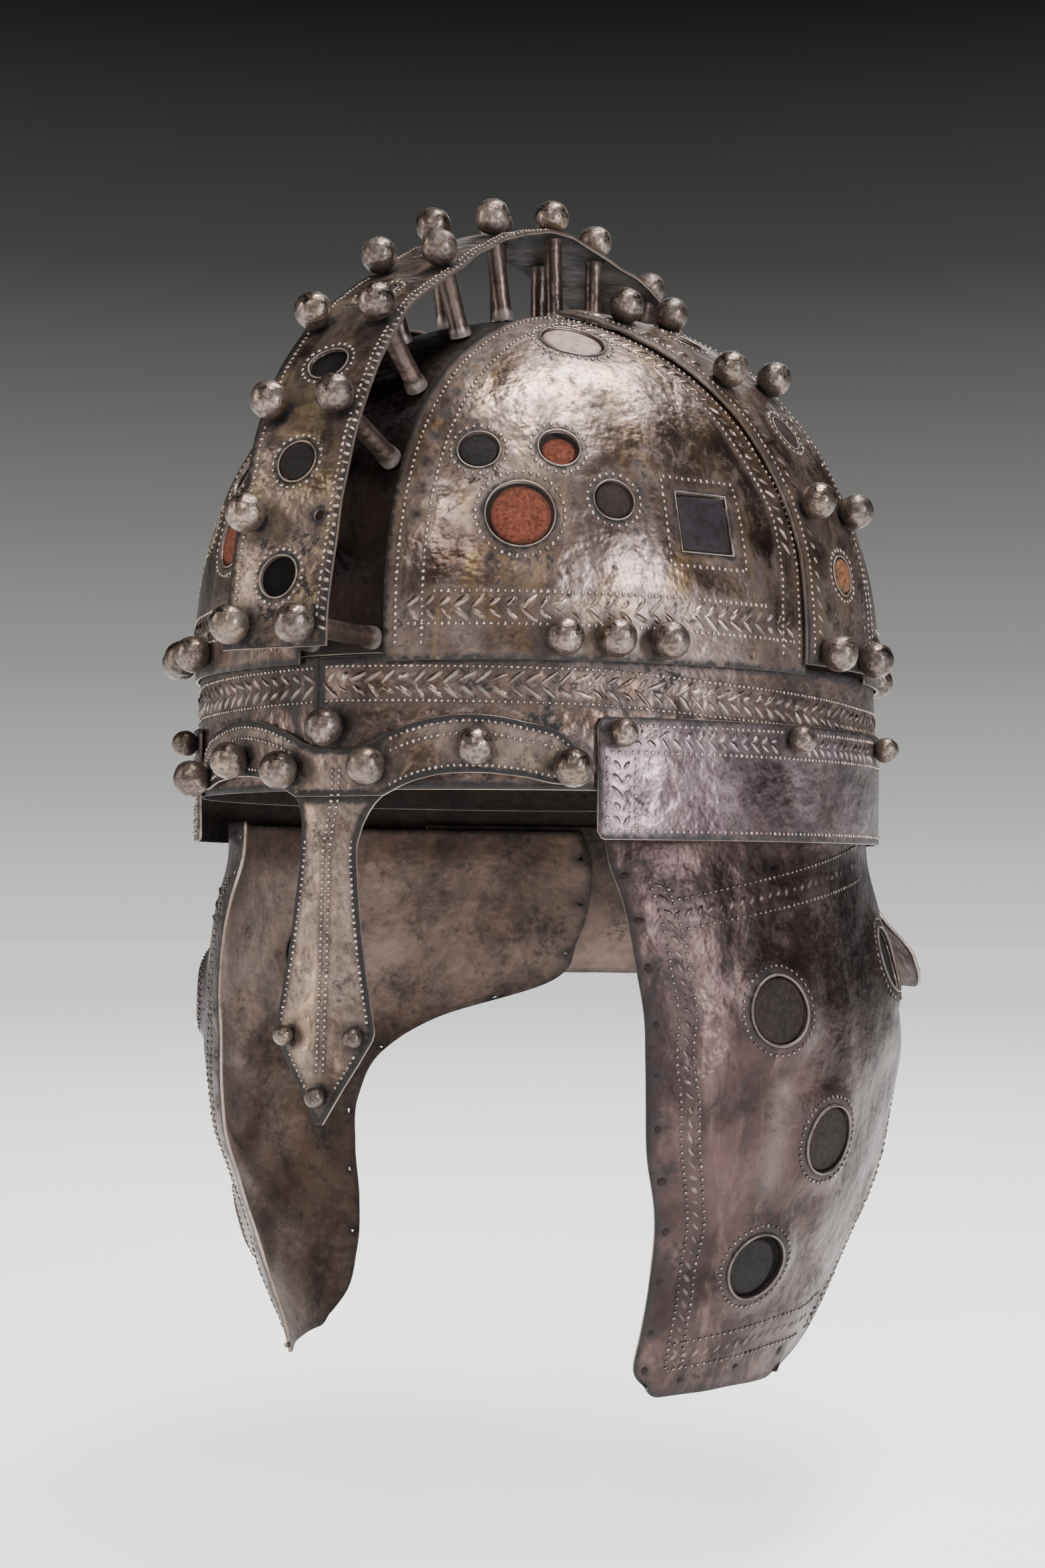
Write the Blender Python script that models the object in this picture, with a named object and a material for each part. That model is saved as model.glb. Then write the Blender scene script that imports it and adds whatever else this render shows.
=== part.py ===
"""Late Roman cavalry helmet: bowl plates, crest on posts, brow band, nasal, ear plates, cheeks and neck guard.

Metres, +Z up, the face towards -Y, the wearer's left at +X. The origin is the head seat, the middle of the
brow band. Angles run in degrees from the front (0) over the left side (90) to the back (180).
"""

import math

import bmesh
import bpy
from mathutils import Matrix, Vector

# Head form: the outer face of the brow band and of the ridge strip
HEAD_LENGTH = 0.2394
HEAD_WIDTH = 0.2080
BOWL_RISE = 0.1170
CROWN_BACK = 0.0107
FRONT_FULLNESS = 2.58
SIDE_FULLNESS = 2.30
REAR_FULLNESS = 2.14

# Sheet metal and the clearances between pieces
SHEET = 0.0010
SEAM = 0.0006
STONE_SEAM = 0.0003

# Brow band and ear plates, measured from the head seat
BAND_ABOVE = 0.025
BAND_BELOW = 0.0105
BAND_LAP = 0.002
BAND_JOIN_ANGLE = -4.0
EAR_ABOVE = 0.010
EAR_BELOW = 0.024
EAR_FRONT_ANGLE = 39.5
EAR_CORNER = 0.002

# Crest: a strap on two rows of posts
CREST_HEIGHT = 0.0255
CREST_WIDTH = 0.033
CREST_ROW_GAP = 0.0202
POST_RADIUS = 0.0028
PIN_RADIUS = 0.0014
PIN_PLAY = 0.0005
END_POST_SHARE = 0.058
LOST_POST = ("left", 1)

# Ball studs and settings
BALL_RADIUS = 0.0057
SMALL_BALL_RADIUS = 0.0042
NASAL_BALL_RADIUS = 0.0030
ROUNDEL_RADIUS = 0.0058
LARGE_ROUNDEL_RADIUS = 0.0095
CHEEK_ROUNDEL_RADIUS = 0.0100
SQUARE_HALF = 0.0088
STONE_THICKNESS = 0.0018

# Side bands, nasal, cheek pieces and neck guard
SIDE_BAND_WIDTH = 0.042
NASAL_DROP = 0.103
NASAL_WIDTH = 0.0315
NASAL_LEAN = 0.004
NASAL_OFFSET = -0.0024
CHEEK_TOP = 0.018
CHEEK_DROP = 0.167
CHEEK_SWELL = 0.010
NECK_TOP = 0.016
NECK_DROP = 0.0545
NECK_FLARE = 0.020
NECK_CORNER = 0.005
NECK_FRONT_ANGLE = 125.0

# Rows of a bowl plate: height as a share of BOWL_RISE, edge at the ridge and edge at the side band in degrees
# from the middle plane
FRONT_PLATE_ROWS = (
    (0.00, 7.5, 76.3),
    (0.14, 7.55, 76.6),
    (0.28, 7.7, 77.0),
    (0.42, 8.1, 76.4),
    (0.55, 8.9, 73.1),
    (0.67, 10.3, 68.8),
    (0.78, 13.0, 62.5),
    (0.86, 18.1, 52.5),
    (0.92, 27.0, 38.0),
)
REAR_PLATE_ROWS = (
    (0.00, 7.5, 83.5),
    (0.14, 7.55, 83.0),
    (0.28, 7.7, 82.5),
    (0.42, 8.1, 83.3),
    (0.55, 8.9, 84.3),
    (0.67, 10.3, 86.0),
    (0.78, 13.0, 88.0),
    (0.86, 18.1, 91.0),
    (0.92, 27.0, 92.0),
)
# Rows of the ridge strip: turn over the crown (-90 at the front rim) and half width as a share of half HEAD_WIDTH
RIDGE_ROWS = (
    (-90, 0.155),
    (-60, 0.165),
    (-42, 0.21),
    (-28, 0.34),
    (0, 0.44),
    (20, 0.40),
    (40, 0.21),
    (60, 0.165),
    (90, 0.155),
)
# Rows of the crest: turn and height over the ridge as a share of CREST_HEIGHT
CREST_ROWS = (
    (-90, 1.30),
    (-80, 1.14),
    (-66, 1.04),
    (-52, 0.93),
    (-34, 0.79),
    (-20, 0.94),
    (-6, 1.08),
    (2, 1.02),
    (18, 1.05),
    (50, 1.00),
    (75, 1.06),
    (90, 1.20),
)
# Rows of a side band: turn from the rim (90) to the crown and front edge as a share of half HEAD_LENGTH
SIDE_BAND_ROWS = (
    (14, -0.400),
    (30, -0.363),
    (45, -0.305),
    (60, -0.261),
    (75, -0.224),
    (90, -0.237),
)
# Turns of the crest's post pairs between the two end pairs
PAIR_TURNS = (-78.8, -66.0, -51.3, -33.7, -19.9, -6.0, 1.7, 17.9, 32.5, 47.0, 61.5, 75.5)
# Crest settings: turn and whether the stone is still there
CREST_SETTINGS = (
    (-84.5, False),
    (-72.6, True),
    (-59.1, False),
    (-43.6, True),
    (25.0, True),
    (54.0, True),
    (68.5, False),
)
# Bowl plate settings: name, degrees from the middle plane, height share, shape and half size, stone kept on
# the left front plate, stone kept on the right front plate
PLATE_SETTINGS = (
    ("large_disc", 27.9, 0.348, "round", LARGE_ROUNDEL_RADIUS, True, True),
    ("grey_disc", 20.9, 0.507, "round", ROUNDEL_RADIUS, True, False),
    ("red_disc", 33.7, 0.514, "round", ROUNDEL_RADIUS, True, False),
    ("brown_disc", 42.2, 0.388, "round", ROUNDEL_RADIUS, True, False),
    ("square_stone", 57.1, 0.347, "square", SQUARE_HALF, True, False),
    ("top_disc", 36.7, 0.827, "round", LARGE_ROUNDEL_RADIUS, True, False),
)
PLATE_STUD_ANGLES = (34.2, 41.5, 49.2)
PLATE_STUD_SHARE = 0.053
# Side band: turns of the stud pairs and, as name, turn and stone kept on the left and on the right band
SIDE_STUD_TURNS = (88.0, 68.0, 43.5, 23.0)
SIDE_STUD_SHARES = (0.20, 0.76)
SIDE_SETTINGS = (
    ("cabochon", 77.5, True, True),
    ("band_disc", 54.0, True, False),
    ("band_hole", 30.5, False, False),
)
# Eyebrow plate: degrees from the middle, lower edge and upper edge in shares of EAR_BELOW
EYEBROW_COLUMNS = (
    (7.8, -0.51, 0.19),
    (11.6, -0.37, 0.31),
    (15.0, -0.29, 0.38),
    (21.5, -0.245, 0.43),
    (28.5, -0.29, 0.35),
    (35.0, -0.37, 0.17),
    (37.8, -0.32, -0.06),
)
# Nasal: drop as a share of NASAL_DROP and half width as a share of half NASAL_WIDTH
NASAL_ROWS = (
    (0.18, 0.68),
    (0.24, 0.575),
    (0.36, 0.63),
    (0.50, 0.72),
    (0.64, 0.87),
    (0.76, 1.0),
    (0.90, 0.45),
    (1.0, 0.06),
)
# Cheek: drop as a share of CHEEK_DROP, front and rear edge in degrees, outward place of the front edge and of
# the rear part as shares of CHEEK_SWELL
CHEEK_ROWS = (
    (0.00, 43.5, 156.0, -1.30, -0.23),
    (0.06, 43.8, 158.0, -1.28, -0.23),
    (0.14, 45.8, 158.0, -0.95, 0.05),
    (0.24, 47.2, 155.6, -0.72, 0.42),
    (0.34, 48.7, 149.6, -0.66, 0.80),
    (0.41, 49.0, 130.0, -0.68, 0.85),
    (0.48, 49.2, 118.5, -0.74, 0.68),
    (0.57, 49.8, 112.5, -0.88, 0.38),
    (0.67, 52.6, 110.3, -1.32, -0.05),
    (0.78, 53.8, 108.5, -1.85, -0.85),
    (0.88, 54.0, 106.2, -2.40, -1.55),
    (0.96, 53.6, 99.2, -2.90, -2.30),
    (1.00, 58.0, 88.0, -3.00, -2.75),
)
# Cheek settings: name, degrees, drop share and stone kept on the left and on the right cheek
CHEEK_SETTINGS = (
    ("cheek_hole", 102.0, 0.250, False, False),
    ("cheek_disc_upper", 69.0, 0.325, True, False),
    ("cheek_disc_middle", 80.3, 0.552, True, False),
    ("cheek_disc_lower", 71.8, 0.768, True, False),
)
# Neck guard: drop as a share of NECK_DROP and outward place as a share of NECK_FLARE
NECK_ROWS = (
    (0.00, -0.015),
    (0.17, -0.015),
    (0.40, 0.09),
    (0.60, 0.27),
    (0.78, 0.58),
    (1.00, 1.0),
)
EAR_STUD_ANGLES = (42.7, 73.0, 103.0, 133.0, 163.0)
EAR_STUD_HEIGHT = 0.0055
CENTRE_BALL = (-1.3, 0.007)
EYEBROW_NOTCH = 0.06
# Brow studs: degrees and height on the left, then on the right
BROW_STUDS = (
    (6.2, -0.0043, -8.9, -0.0047),
    (22.0, 0.0012, -20.8, -0.0015),
    (35.4, -0.0048, -34.0, -0.0060),
)
# Nasal studs: sideways place as a share of half NASAL_WIDTH and drop as a share of NASAL_DROP
NASAL_STUDS = ((0.70, 0.765), (-0.70, 0.765), (0.02, 0.925))

# Where each layer's outer face lies over the head form
RIDGE_FACE = -SEAM
PLATE_FACE = SEAM + SHEET
OVERLAY_FACE = 2 * PLATE_FACE + SEAM / 2

SIDES = {"left": 1, "right": -1}
BALL_SIDES = 6


def clear_scene():
    for item in list(bpy.data.objects):
        bpy.data.objects.remove(item, do_unlink=True)


def metal(name, red, green, blue, roughness, metallic):
    """A plain material with one colour."""
    made = bpy.data.materials.new(name)
    made.use_nodes = True
    shader = made.node_tree.nodes["Principled BSDF"]
    shader.inputs["Base Color"].default_value = (red, green, blue, 1)
    shader.inputs["Roughness"].default_value = roughness
    shader.inputs["Metallic"].default_value = metallic
    return made


def between(rows, key, column):
    """Value of a table's column where its first column is key, along straight lines between rows."""
    for low, high in zip(rows, rows[1:]):
        if key <= high[0]:
            share = (key - low[0]) / (high[0] - low[0])
            return low[column] + (high[column] - low[column]) * max(share, 0.0)
    return rows[-1][column]


def fullness(cosine):
    """Power of the bowl's profile towards the front, the sides and the back."""
    end = FRONT_FULLNESS if cosine > 0 else REAR_FULLNESS
    return SIDE_FULLNESS + (end - SIDE_FULLNESS) * cosine**2


def head_form(angle, height):
    """Point of the head form at an angle and a height over the head seat."""
    turn = math.radians(angle)
    share = min(max((height - BAND_ABOVE) / BOWL_RISE, 0.0), 1.0)
    power = fullness(math.cos(turn))
    ring = (1 - share**power) ** (1 / power)
    return Vector((
        HEAD_WIDTH / 2 * ring * math.sin(turn),
        -HEAD_LENGTH / 2 * ring * math.cos(turn) + CROWN_BACK * (1 - ring),
        height,
    ))


def crown_form(side, along):
    """Point of the bowl over side and along, shares of its half width and half length."""
    ring = min(math.hypot(side, along), 1.0)
    power = fullness(-along / ring if ring else 0.0)
    share = (1 - ring**power) ** (1 / power)
    return Vector((
        HEAD_WIDTH / 2 * side,
        HEAD_LENGTH / 2 * along + CROWN_BACK * (1 - ring),
        BAND_ABOVE + BOWL_RISE * share,
    ))


def ridge_form(side, turn):
    """Point of a fore-and-aft line over the crown, at side as a share of half the width."""
    turn = min(max(turn, -90.0), 90.0)
    power = FRONT_FULLNESS if turn < 0 else REAR_FULLNESS
    reach = abs(math.sin(math.radians(turn))) ** (2 / power)
    return crown_form(side, math.copysign(reach * math.sqrt(1 - side**2), turn))


def side_form(along, turn):
    """Point of a line from the rim (90) to the crown on the left, at along as a share of half the length."""
    reach = math.sin(math.radians(min(max(turn, 0.0), 90.0))) ** (2 / SIDE_FULLNESS)
    return crown_form(reach * math.sqrt(1 - along**2), along)


def turn_at(share, power):
    """Turn at which the crown section has a height share."""
    return math.degrees(math.acos(share ** (power / 2)))


def even_turns(form, fixed, start, end, steps):
    """Turns from start to end that cut a form's line into equal lengths."""
    count = 40 * steps
    turns = [start + (end - start) * n / count for n in range(count + 1)]
    points = [form(fixed, turn) for turn in turns]
    lengths = [0.0]
    for low, high in zip(points, points[1:]):
        lengths.append(lengths[-1] + (high - low).length)
    chosen = []
    for n in range(steps + 1):
        wanted = lengths[-1] * n / steps
        chosen.append(min(zip(lengths, turns), key=lambda pair: abs(pair[0] - wanted))[1])
    return chosen


def station(values, v):
    """Value of a list at v, from 0 at its start to 1 at its end."""
    return values[round(v * (len(values) - 1))]


def outward_normal(form, first, second, step_first, step_second):
    """Normal of a form, away from the head."""
    along = form(first + step_first, second) - form(first - step_first, second)
    across = form(first, second + step_second) - form(first, second - step_second)
    normal = along.cross(across).normalized()
    away = form(first, second) - Vector((0, 0, BAND_ABOVE))
    return normal if normal.dot(away) > 0 else -normal


def on_head(angle, height, outward):
    return head_form(angle, height) + outward_normal(head_form, angle, height, 0.5, 0.0005) * outward


def on_ridge(side, turn, outward):
    return ridge_form(side, turn) + outward_normal(ridge_form, side, turn, 0.004, 0.5) * outward


def on_side(along, turn, outward):
    return side_form(along, turn) + outward_normal(side_form, along, turn, 0.004, 0.5) * outward


def mirrored(point, sign):
    return Vector((point.x * sign, point.y, point.z))


def new_object(name, mesh_data, material, guide=False):
    made = bpy.data.objects.new(name, mesh_data)
    made.data.materials.append(material)
    bpy.context.scene.collection.objects.link(made)
    if guide:
        made.hide_render = True
        made.display_type = "WIRE"
    return made


def finish_mesh(name, bm):
    data = bpy.data.meshes.new(name)
    bm.to_mesh(data)
    bm.free()
    data.shade_smooth()
    data.set_sharp_from_angle(angle=math.radians(35))
    return data


def sheet(name, place, columns, rows, material):
    """A sheet of metal whose outer face is place(u, v) for u and v from 0 to 1."""
    bm = bmesh.new()
    bmesh.ops.create_grid(bm, x_segments=columns, y_segments=rows, size=0.5)
    for vertex in bm.verts:
        vertex.co = place(vertex.co.x + 0.5, vertex.co.y + 0.5)
    bm.normal_update()
    outward = sum(face.normal.dot(face.calc_center_median() - Vector((0, 0, 0))) for face in bm.faces)
    if outward < 0:
        bmesh.ops.reverse_faces(bm, faces=bm.faces[:])
    made = new_object(name, finish_mesh(name, bm), material)
    thicken(made)
    return made


def thicken(made):
    wall = made.modifiers.new("wall", "SOLIDIFY")
    wall.thickness = SHEET
    wall.offset = -1
    wall.use_even_offset = True


def cut(made, cutter, operation="DIFFERENCE"):
    tool = made.modifiers.new(operation.lower(), "BOOLEAN")
    tool.operation = operation
    tool.object = cutter


def frame_at(point, outward, upward):
    """Matrix whose Z looks outward and whose Y leans upward, placed at point."""
    z = outward.normalized()
    x = upward.cross(z).normalized()
    y = z.cross(x)
    turn = Matrix((x, y, z)).transposed().to_4x4()
    return Matrix.Translation(point) @ turn


def add_prism(bm, outline, low, high, frame):
    """A closed prism of an outline in the frame's X and Y, from low to high along its Z."""
    corners = [bm.verts.new(frame @ Vector((x, y, low))) for x, y in outline]
    base = bm.faces.new(corners)
    raised = bmesh.ops.extrude_face_region(bm, geom=[base])
    moved = [item for item in raised["geom"] if isinstance(item, bmesh.types.BMVert)]
    lift = frame.to_3x3() @ Vector((0, 0, high - low))
    bmesh.ops.translate(bm, vec=lift, verts=moved)
    bmesh.ops.recalc_face_normals(bm, faces=bm.faces[:])


def add_turned(bm, profile, sides, frame):
    """A closed turned body: profile holds radius and height from its foot on the axis to its top."""
    points = [bm.verts.new(frame @ Vector((radius, 0, height))) for radius, height in profile]
    edges = [bm.edges.new(pair) for pair in zip(points, points[1:])]
    bmesh.ops.spin(
        bm,
        geom=points + edges,
        cent=frame.translation,
        axis=frame.to_3x3() @ Vector((0, 0, 1)),
        dvec=(0, 0, 0),
        angle=2 * math.pi,
        steps=sides,
        use_merge=True,
        use_duplicate=False,
    )
    bmesh.ops.remove_doubles(bm, verts=bm.verts[:], dist=0.00001)
    bmesh.ops.recalc_face_normals(bm, faces=bm.faces[:])


def outline_of(shape, half):
    if shape == "square":
        return [(-half, -half), (half, -half), (half, half), (-half, half)]
    steps = 8
    return [(half * math.cos(2 * math.pi * n / steps), half * math.sin(2 * math.pi * n / steps)) for n in range(steps)]


def guide_of(name, build, material):
    """A hidden guide object that build fills with closed bodies."""
    bm = bmesh.new()
    build(bm)
    return new_object(name, finish_mesh(name, bm), material, guide=True)


def settings_in(made, places, material):
    """Cuts a through hole at each place, given as shape, half size and frame."""
    def build(bm):
        for shape, half, frame in places:
            add_prism(bm, outline_of(shape, half), -4 * SHEET, 4 * SHEET, frame)
    if places:
        cut(made, guide_of(made.name + "_holes", build, material))


def studs_on(made, places, material):
    """Solders ball studs on a sheet, each given as radius and frame on the sheet's outer face."""
    def build(bm):
        for radius, frame in places:
            profile = (
                (0, -SHEET / 2),
                (0.60 * radius, -SHEET / 2),
                (radius, 0.85 * radius),
                (0.70 * radius, 1.55 * radius),
                (0, 1.85 * radius),
            )
            add_turned(bm, profile, BALL_SIDES, frame)
    if places:
        cut(made, guide_of(made.name + "_studs", build, material), "UNION")


def stone(name, shape, half, frame, material):
    """A flat stone that fills a setting whose frame lies on the sheet's outer face."""
    bm = bmesh.new()
    top = (STONE_THICKNESS - SHEET) / 2
    add_prism(bm, outline_of(shape, half - STONE_SEAM), top - STONE_THICKNESS, top, frame)
    return new_object(name, finish_mesh(name, bm), material)


def head_frame(angle, height, outward, sign):
    """Frame on the head form's layer at outward, with Y leaning up."""
    point = on_head(angle, height, outward)
    normal = outward_normal(head_form, angle, height, 0.5, 0.0005)
    upward = head_form(angle, height + 0.001) - head_form(angle, height - 0.001)
    return frame_at(mirrored(point, sign), mirrored(normal, sign), mirrored(upward, sign))


def bowl_plates(silver, stones):
    """Four domed plates, each from the brow band to the crown between the ridge and a side band."""
    for end, rows in (("front", FRONT_PLATE_ROWS), ("rear", REAR_PLATE_ROWS)):
        for side, sign in SIDES.items():
            name = f"bowl_plate_{end}_{side}"

            def angle_of(degrees):
                return degrees if end == "front" else 180 - degrees

            def place(u, v):
                row = v * (len(rows) - 1)
                low = rows[int(min(row, len(rows) - 2))]
                high = rows[int(min(row, len(rows) - 2)) + 1]
                part = row - int(min(row, len(rows) - 2))
                share, inner, outer = (a + (b - a) * part for a, b in zip(low, high))
                angle = angle_of(inner + (outer - inner) * u)
                return mirrored(on_head(angle, BAND_ABOVE + BOWL_RISE * share, PLATE_FACE), sign)

            made = sheet(name, place, 10, len(rows) - 1, silver)
            frames = [
                (setting, head_frame(setting[1], BAND_ABOVE + BOWL_RISE * setting[2], PLATE_FACE, sign))
                for setting in PLATE_SETTINGS
                if end == "front"
            ]
            settings_in(made, [(setting[3], setting[4], frame) for setting, frame in frames], silver)
            for setting, frame in frames:
                if setting[5] if side == "left" else setting[6]:
                    stone(f"{setting[0]}_{side}", setting[3], setting[4], frame, stones[setting[0]])
            studs = [
                (BALL_RADIUS, head_frame(angle_of(angle), BAND_ABOVE + BOWL_RISE * PLATE_STUD_SHARE, PLATE_FACE, sign))
                for angle in PLATE_STUD_ANGLES
            ]
            studs_on(made, studs, silver)


def ridge_strip(iron):
    """The fore-and-aft strip under the crest, which widens under the plates at the crown."""
    start = -turn_at((BAND_LAP + SEAM) / BOWL_RISE, FRONT_FULLNESS)
    end = turn_at((BAND_LAP + SEAM) / BOWL_RISE, REAR_FULLNESS)
    turns = crest_stations(start, end)

    def place(u, v):
        turn = station(turns, v)
        return on_ridge((2 * u - 1) * between(RIDGE_ROWS, turn, 1), turn, RIDGE_FACE)

    sheet("ridge_strip", place, 4, len(turns) - 1, iron)


def crest_turns():
    """Turns of all post pairs, from the front rim to the rear rim."""
    first = -turn_at(END_POST_SHARE, FRONT_FULLNESS)
    last = turn_at(END_POST_SHARE, REAR_FULLNESS)
    return (first, *PAIR_TURNS, last)


def crest_stations(start, end):
    """The post pairs' turns, the turns halfway between them and the two ends."""
    turns = crest_turns()
    halves = []
    for low, high in zip(turns, turns[1:]):
        halves.append(even_turns(ridge_form, 0.0, low, high, 2)[1])
    return sorted((start, *turns, *halves, end))


def crest_section(turn):
    """Foot and outward direction of the crest's middle line at a turn over the crown."""
    return ridge_form(0.0, turn), outward_normal(ridge_form, 0.0, turn, 0.004, 0.5)


def crest_rise(turn):
    """Height of the strap's outer face over the ridge strip's outer face."""
    return CREST_HEIGHT * between(CREST_ROWS, turn, 1) + SHEET / 2


def crest_frame(x, turn, rise):
    foot, outward = crest_section(turn)
    along = Vector((0, -outward.z, outward.y))
    return frame_at(foot + outward * rise + Vector((x, 0, 0)), outward, along)


def crest(silver, stones):
    """The strap and its posts: each post is a tube, a pin through the strap and a ball on top."""
    turns = crest_turns()
    stations = crest_stations(-90, 90)

    def place(u, v):
        turn = station(stations, v)
        return crest_frame((u - 0.5) * CREST_WIDTH, turn, crest_rise(turn)).translation

    strap = sheet("crest_strap", place, 2, len(stations) - 1, silver)
    holes = [("round", ROUNDEL_RADIUS, crest_frame(0, turn, crest_rise(turn))) for turn, kept in CREST_SETTINGS]
    settings_in(strap, holes, silver)
    for number, (turn, kept) in enumerate(CREST_SETTINGS, start=1):
        if kept:
            frame = crest_frame(0, turn, crest_rise(turn))
            stone(f"crest_disc_{number}", "round", ROUNDEL_RADIUS, frame, stones["grey_disc"])

    pin_hole = PIN_RADIUS + PIN_PLAY
    pins = []
    for number, turn in enumerate(turns):
        for side, sign in SIDES.items():
            x = sign * CREST_ROW_GAP / 2
            rise = crest_rise(turn)
            pins.append((pin_hole, crest_frame(x, turn, rise)))
            if (side, number) == LOST_POST:
                continue
            foot, outward = crest_section(turn)
            inner_x = (CREST_ROW_GAP / 2 - POST_RADIUS) / (HEAD_WIDTH / 2)
            seat = (ridge_form(inner_x, turn) - foot).dot(outward) + RIDGE_FACE + SEAM
            crest_post(f"crest_post_{number + 1:02d}_{side}", crest_frame(x, turn, 0.0), seat, rise, silver)

    def build(bm):
        for half, frame in pins:
            add_prism(bm, outline_of("square", half), -4 * SHEET, 4 * SHEET, frame)

    cut(strap, guide_of("crest_strap_pin_holes", build, silver))


def crest_post(name, frame, seat, rise, material):
    under = rise - SHEET - SEAM - PIN_PLAY / 2
    over = rise + PIN_PLAY
    profile = (
        (0, seat),
        (POST_RADIUS, seat),
        (POST_RADIUS, under),
        (PIN_RADIUS, under),
        (PIN_RADIUS, over),
        (BALL_RADIUS, over + 0.95 * BALL_RADIUS),
        (0.70 * BALL_RADIUS, over + 1.65 * BALL_RADIUS),
        (0, over + 1.92 * BALL_RADIUS),
    )
    bm = bmesh.new()
    add_turned(bm, profile, BALL_SIDES, frame)
    return new_object(name, finish_mesh(name, bm), material)


def side_bands(silver, stones):
    """A band from the brow band to the crown on each side, over the edges of the bowl plates."""
    width = SIDE_BAND_WIDTH / (HEAD_LENGTH / 2)
    lap = BAND_LAP / (HEAD_LENGTH / 2)
    lowest = turn_at(SEAM / BOWL_RISE, SIDE_FULLNESS)
    top = SIDE_BAND_ROWS[0][0]
    turns = even_turns(side_form, SIDE_BAND_ROWS[-1][1], lowest, top, 10)

    def along_at(share, turn):
        return between(SIDE_BAND_ROWS, turn, 1) - lap + (width + 2 * lap) * share

    def band_frame(share, turn, sign):
        along = along_at(share, turn)
        point = on_side(along, turn, OVERLAY_FACE)
        normal = outward_normal(side_form, along, turn, 0.004, 0.5)
        upward = side_form(along, turn - 1) - side_form(along, turn + 1)
        return frame_at(mirrored(point, sign), mirrored(normal, sign), mirrored(upward, sign))

    for side, sign in SIDES.items():
        def place(u, v):
            turn = station(turns, v)
            return mirrored(on_side(along_at(u, turn), turn, OVERLAY_FACE), sign)

        made = sheet(f"side_band_{side}", place, 3, len(turns) - 1, silver)
        frames = [(setting, band_frame(0.5, setting[1], sign)) for setting in SIDE_SETTINGS]
        settings_in(made, [("round", ROUNDEL_RADIUS, frame) for setting, frame in frames], silver)
        for setting, frame in frames:
            if setting[2] if side == "left" else setting[3]:
                stone(f"{setting[0]}_{side}", "round", ROUNDEL_RADIUS, frame, stones[setting[0]])
        studs = [(BALL_RADIUS, band_frame(share, turn, sign)) for turn in SIDE_STUD_TURNS for share in SIDE_STUD_SHARES]
        studs_on(made, studs, silver)


def brow_band(silver):
    """Two half bands that meet beside the middle of the brow and at the back."""
    gap = math.degrees(SEAM / HEAD_WIDTH)
    spans = {
        "left": (BAND_JOIN_ANGLE + gap, 180 - gap),
        "right": (BAND_JOIN_ANGLE - gap, -180 + gap),
    }
    for side, (start, end) in spans.items():
        def place(u, v):
            height = -BAND_BELOW + (BAND_ABOVE + BAND_LAP + BAND_BELOW) * v
            return on_head(start + (end - start) * u, height, 0.0)

        made = sheet(f"brow_band_{side}", place, 20, 1, silver)
        if side == "left":
            studs_on(made, [(BALL_RADIUS, head_frame(*CENTRE_BALL, 0.0, 1))], silver)


def nasal_plate(silver):
    """Eyebrow plate and nasal in one piece, over the front of the brow band."""
    bm = bmesh.new()
    middle = (-1.0, -0.5, 0.0, 0.5, 1.0)
    first_angle = EYEBROW_COLUMNS[0][0]
    columns = [(-angle, low, high) for angle, low, high in reversed(EYEBROW_COLUMNS)]
    columns += [(first_angle * share, EYEBROW_COLUMNS[0][1], EYEBROW_NOTCH) for share in middle[1:-1]]
    columns += list(EYEBROW_COLUMNS)
    grid = []
    for angle, low, high in columns:
        heights = [EAR_BELOW * (low + (high - low) * share) for share in (0, 0.5, 1)]
        grid.append([bm.verts.new(on_head(angle, height, PLATE_FACE)) for height in heights])
    for left, right in zip(grid, grid[1:]):
        for low in range(2):
            bm.faces.new((left[low], right[low], right[low + 1], left[low + 1]))
    start = len(EYEBROW_COLUMNS) - 1
    above = [column[0] for column in grid[start:start + len(middle)]]
    for drop, width in NASAL_ROWS:
        row = []
        for share in middle:
            x = share * width * NASAL_WIDTH / 2 + NASAL_OFFSET
            height = -drop * NASAL_DROP
            if drop == NASAL_ROWS[-2][0]:
                height += (1 - abs(share)) * 0.02 * NASAL_DROP
            angle = math.degrees(math.asin(x / (HEAD_WIDTH / 2)))
            row.append(bm.verts.new(on_head(angle, height, PLATE_FACE + NASAL_LEAN * drop)))
        for n in range(len(middle) - 1):
            bm.faces.new((row[n], row[n + 1], above[n + 1], above[n]))
        above = row
    bm.normal_update()
    if sum(face.normal.y for face in bm.faces) > 0:
        bmesh.ops.reverse_faces(bm, faces=bm.faces[:])
    made = new_object("nasal_plate", finish_mesh("nasal_plate", bm), silver)
    thicken(made)
    studs = []
    for left, left_height, right, right_height in BROW_STUDS:
        studs.append((BALL_RADIUS, head_frame(left, left_height, PLATE_FACE, 1)))
        studs.append((BALL_RADIUS, head_frame(right, right_height, PLATE_FACE, 1)))
    for share, drop in NASAL_STUDS:
        x = share * NASAL_WIDTH / 2 + NASAL_OFFSET
        angle = math.degrees(math.asin(x / (HEAD_WIDTH / 2)))
        frame = head_frame(angle, -drop * NASAL_DROP, PLATE_FACE + NASAL_LEAN * drop, 1)
        studs.append((NASAL_BALL_RADIUS, frame))
    studs_on(made, studs, silver)


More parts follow.
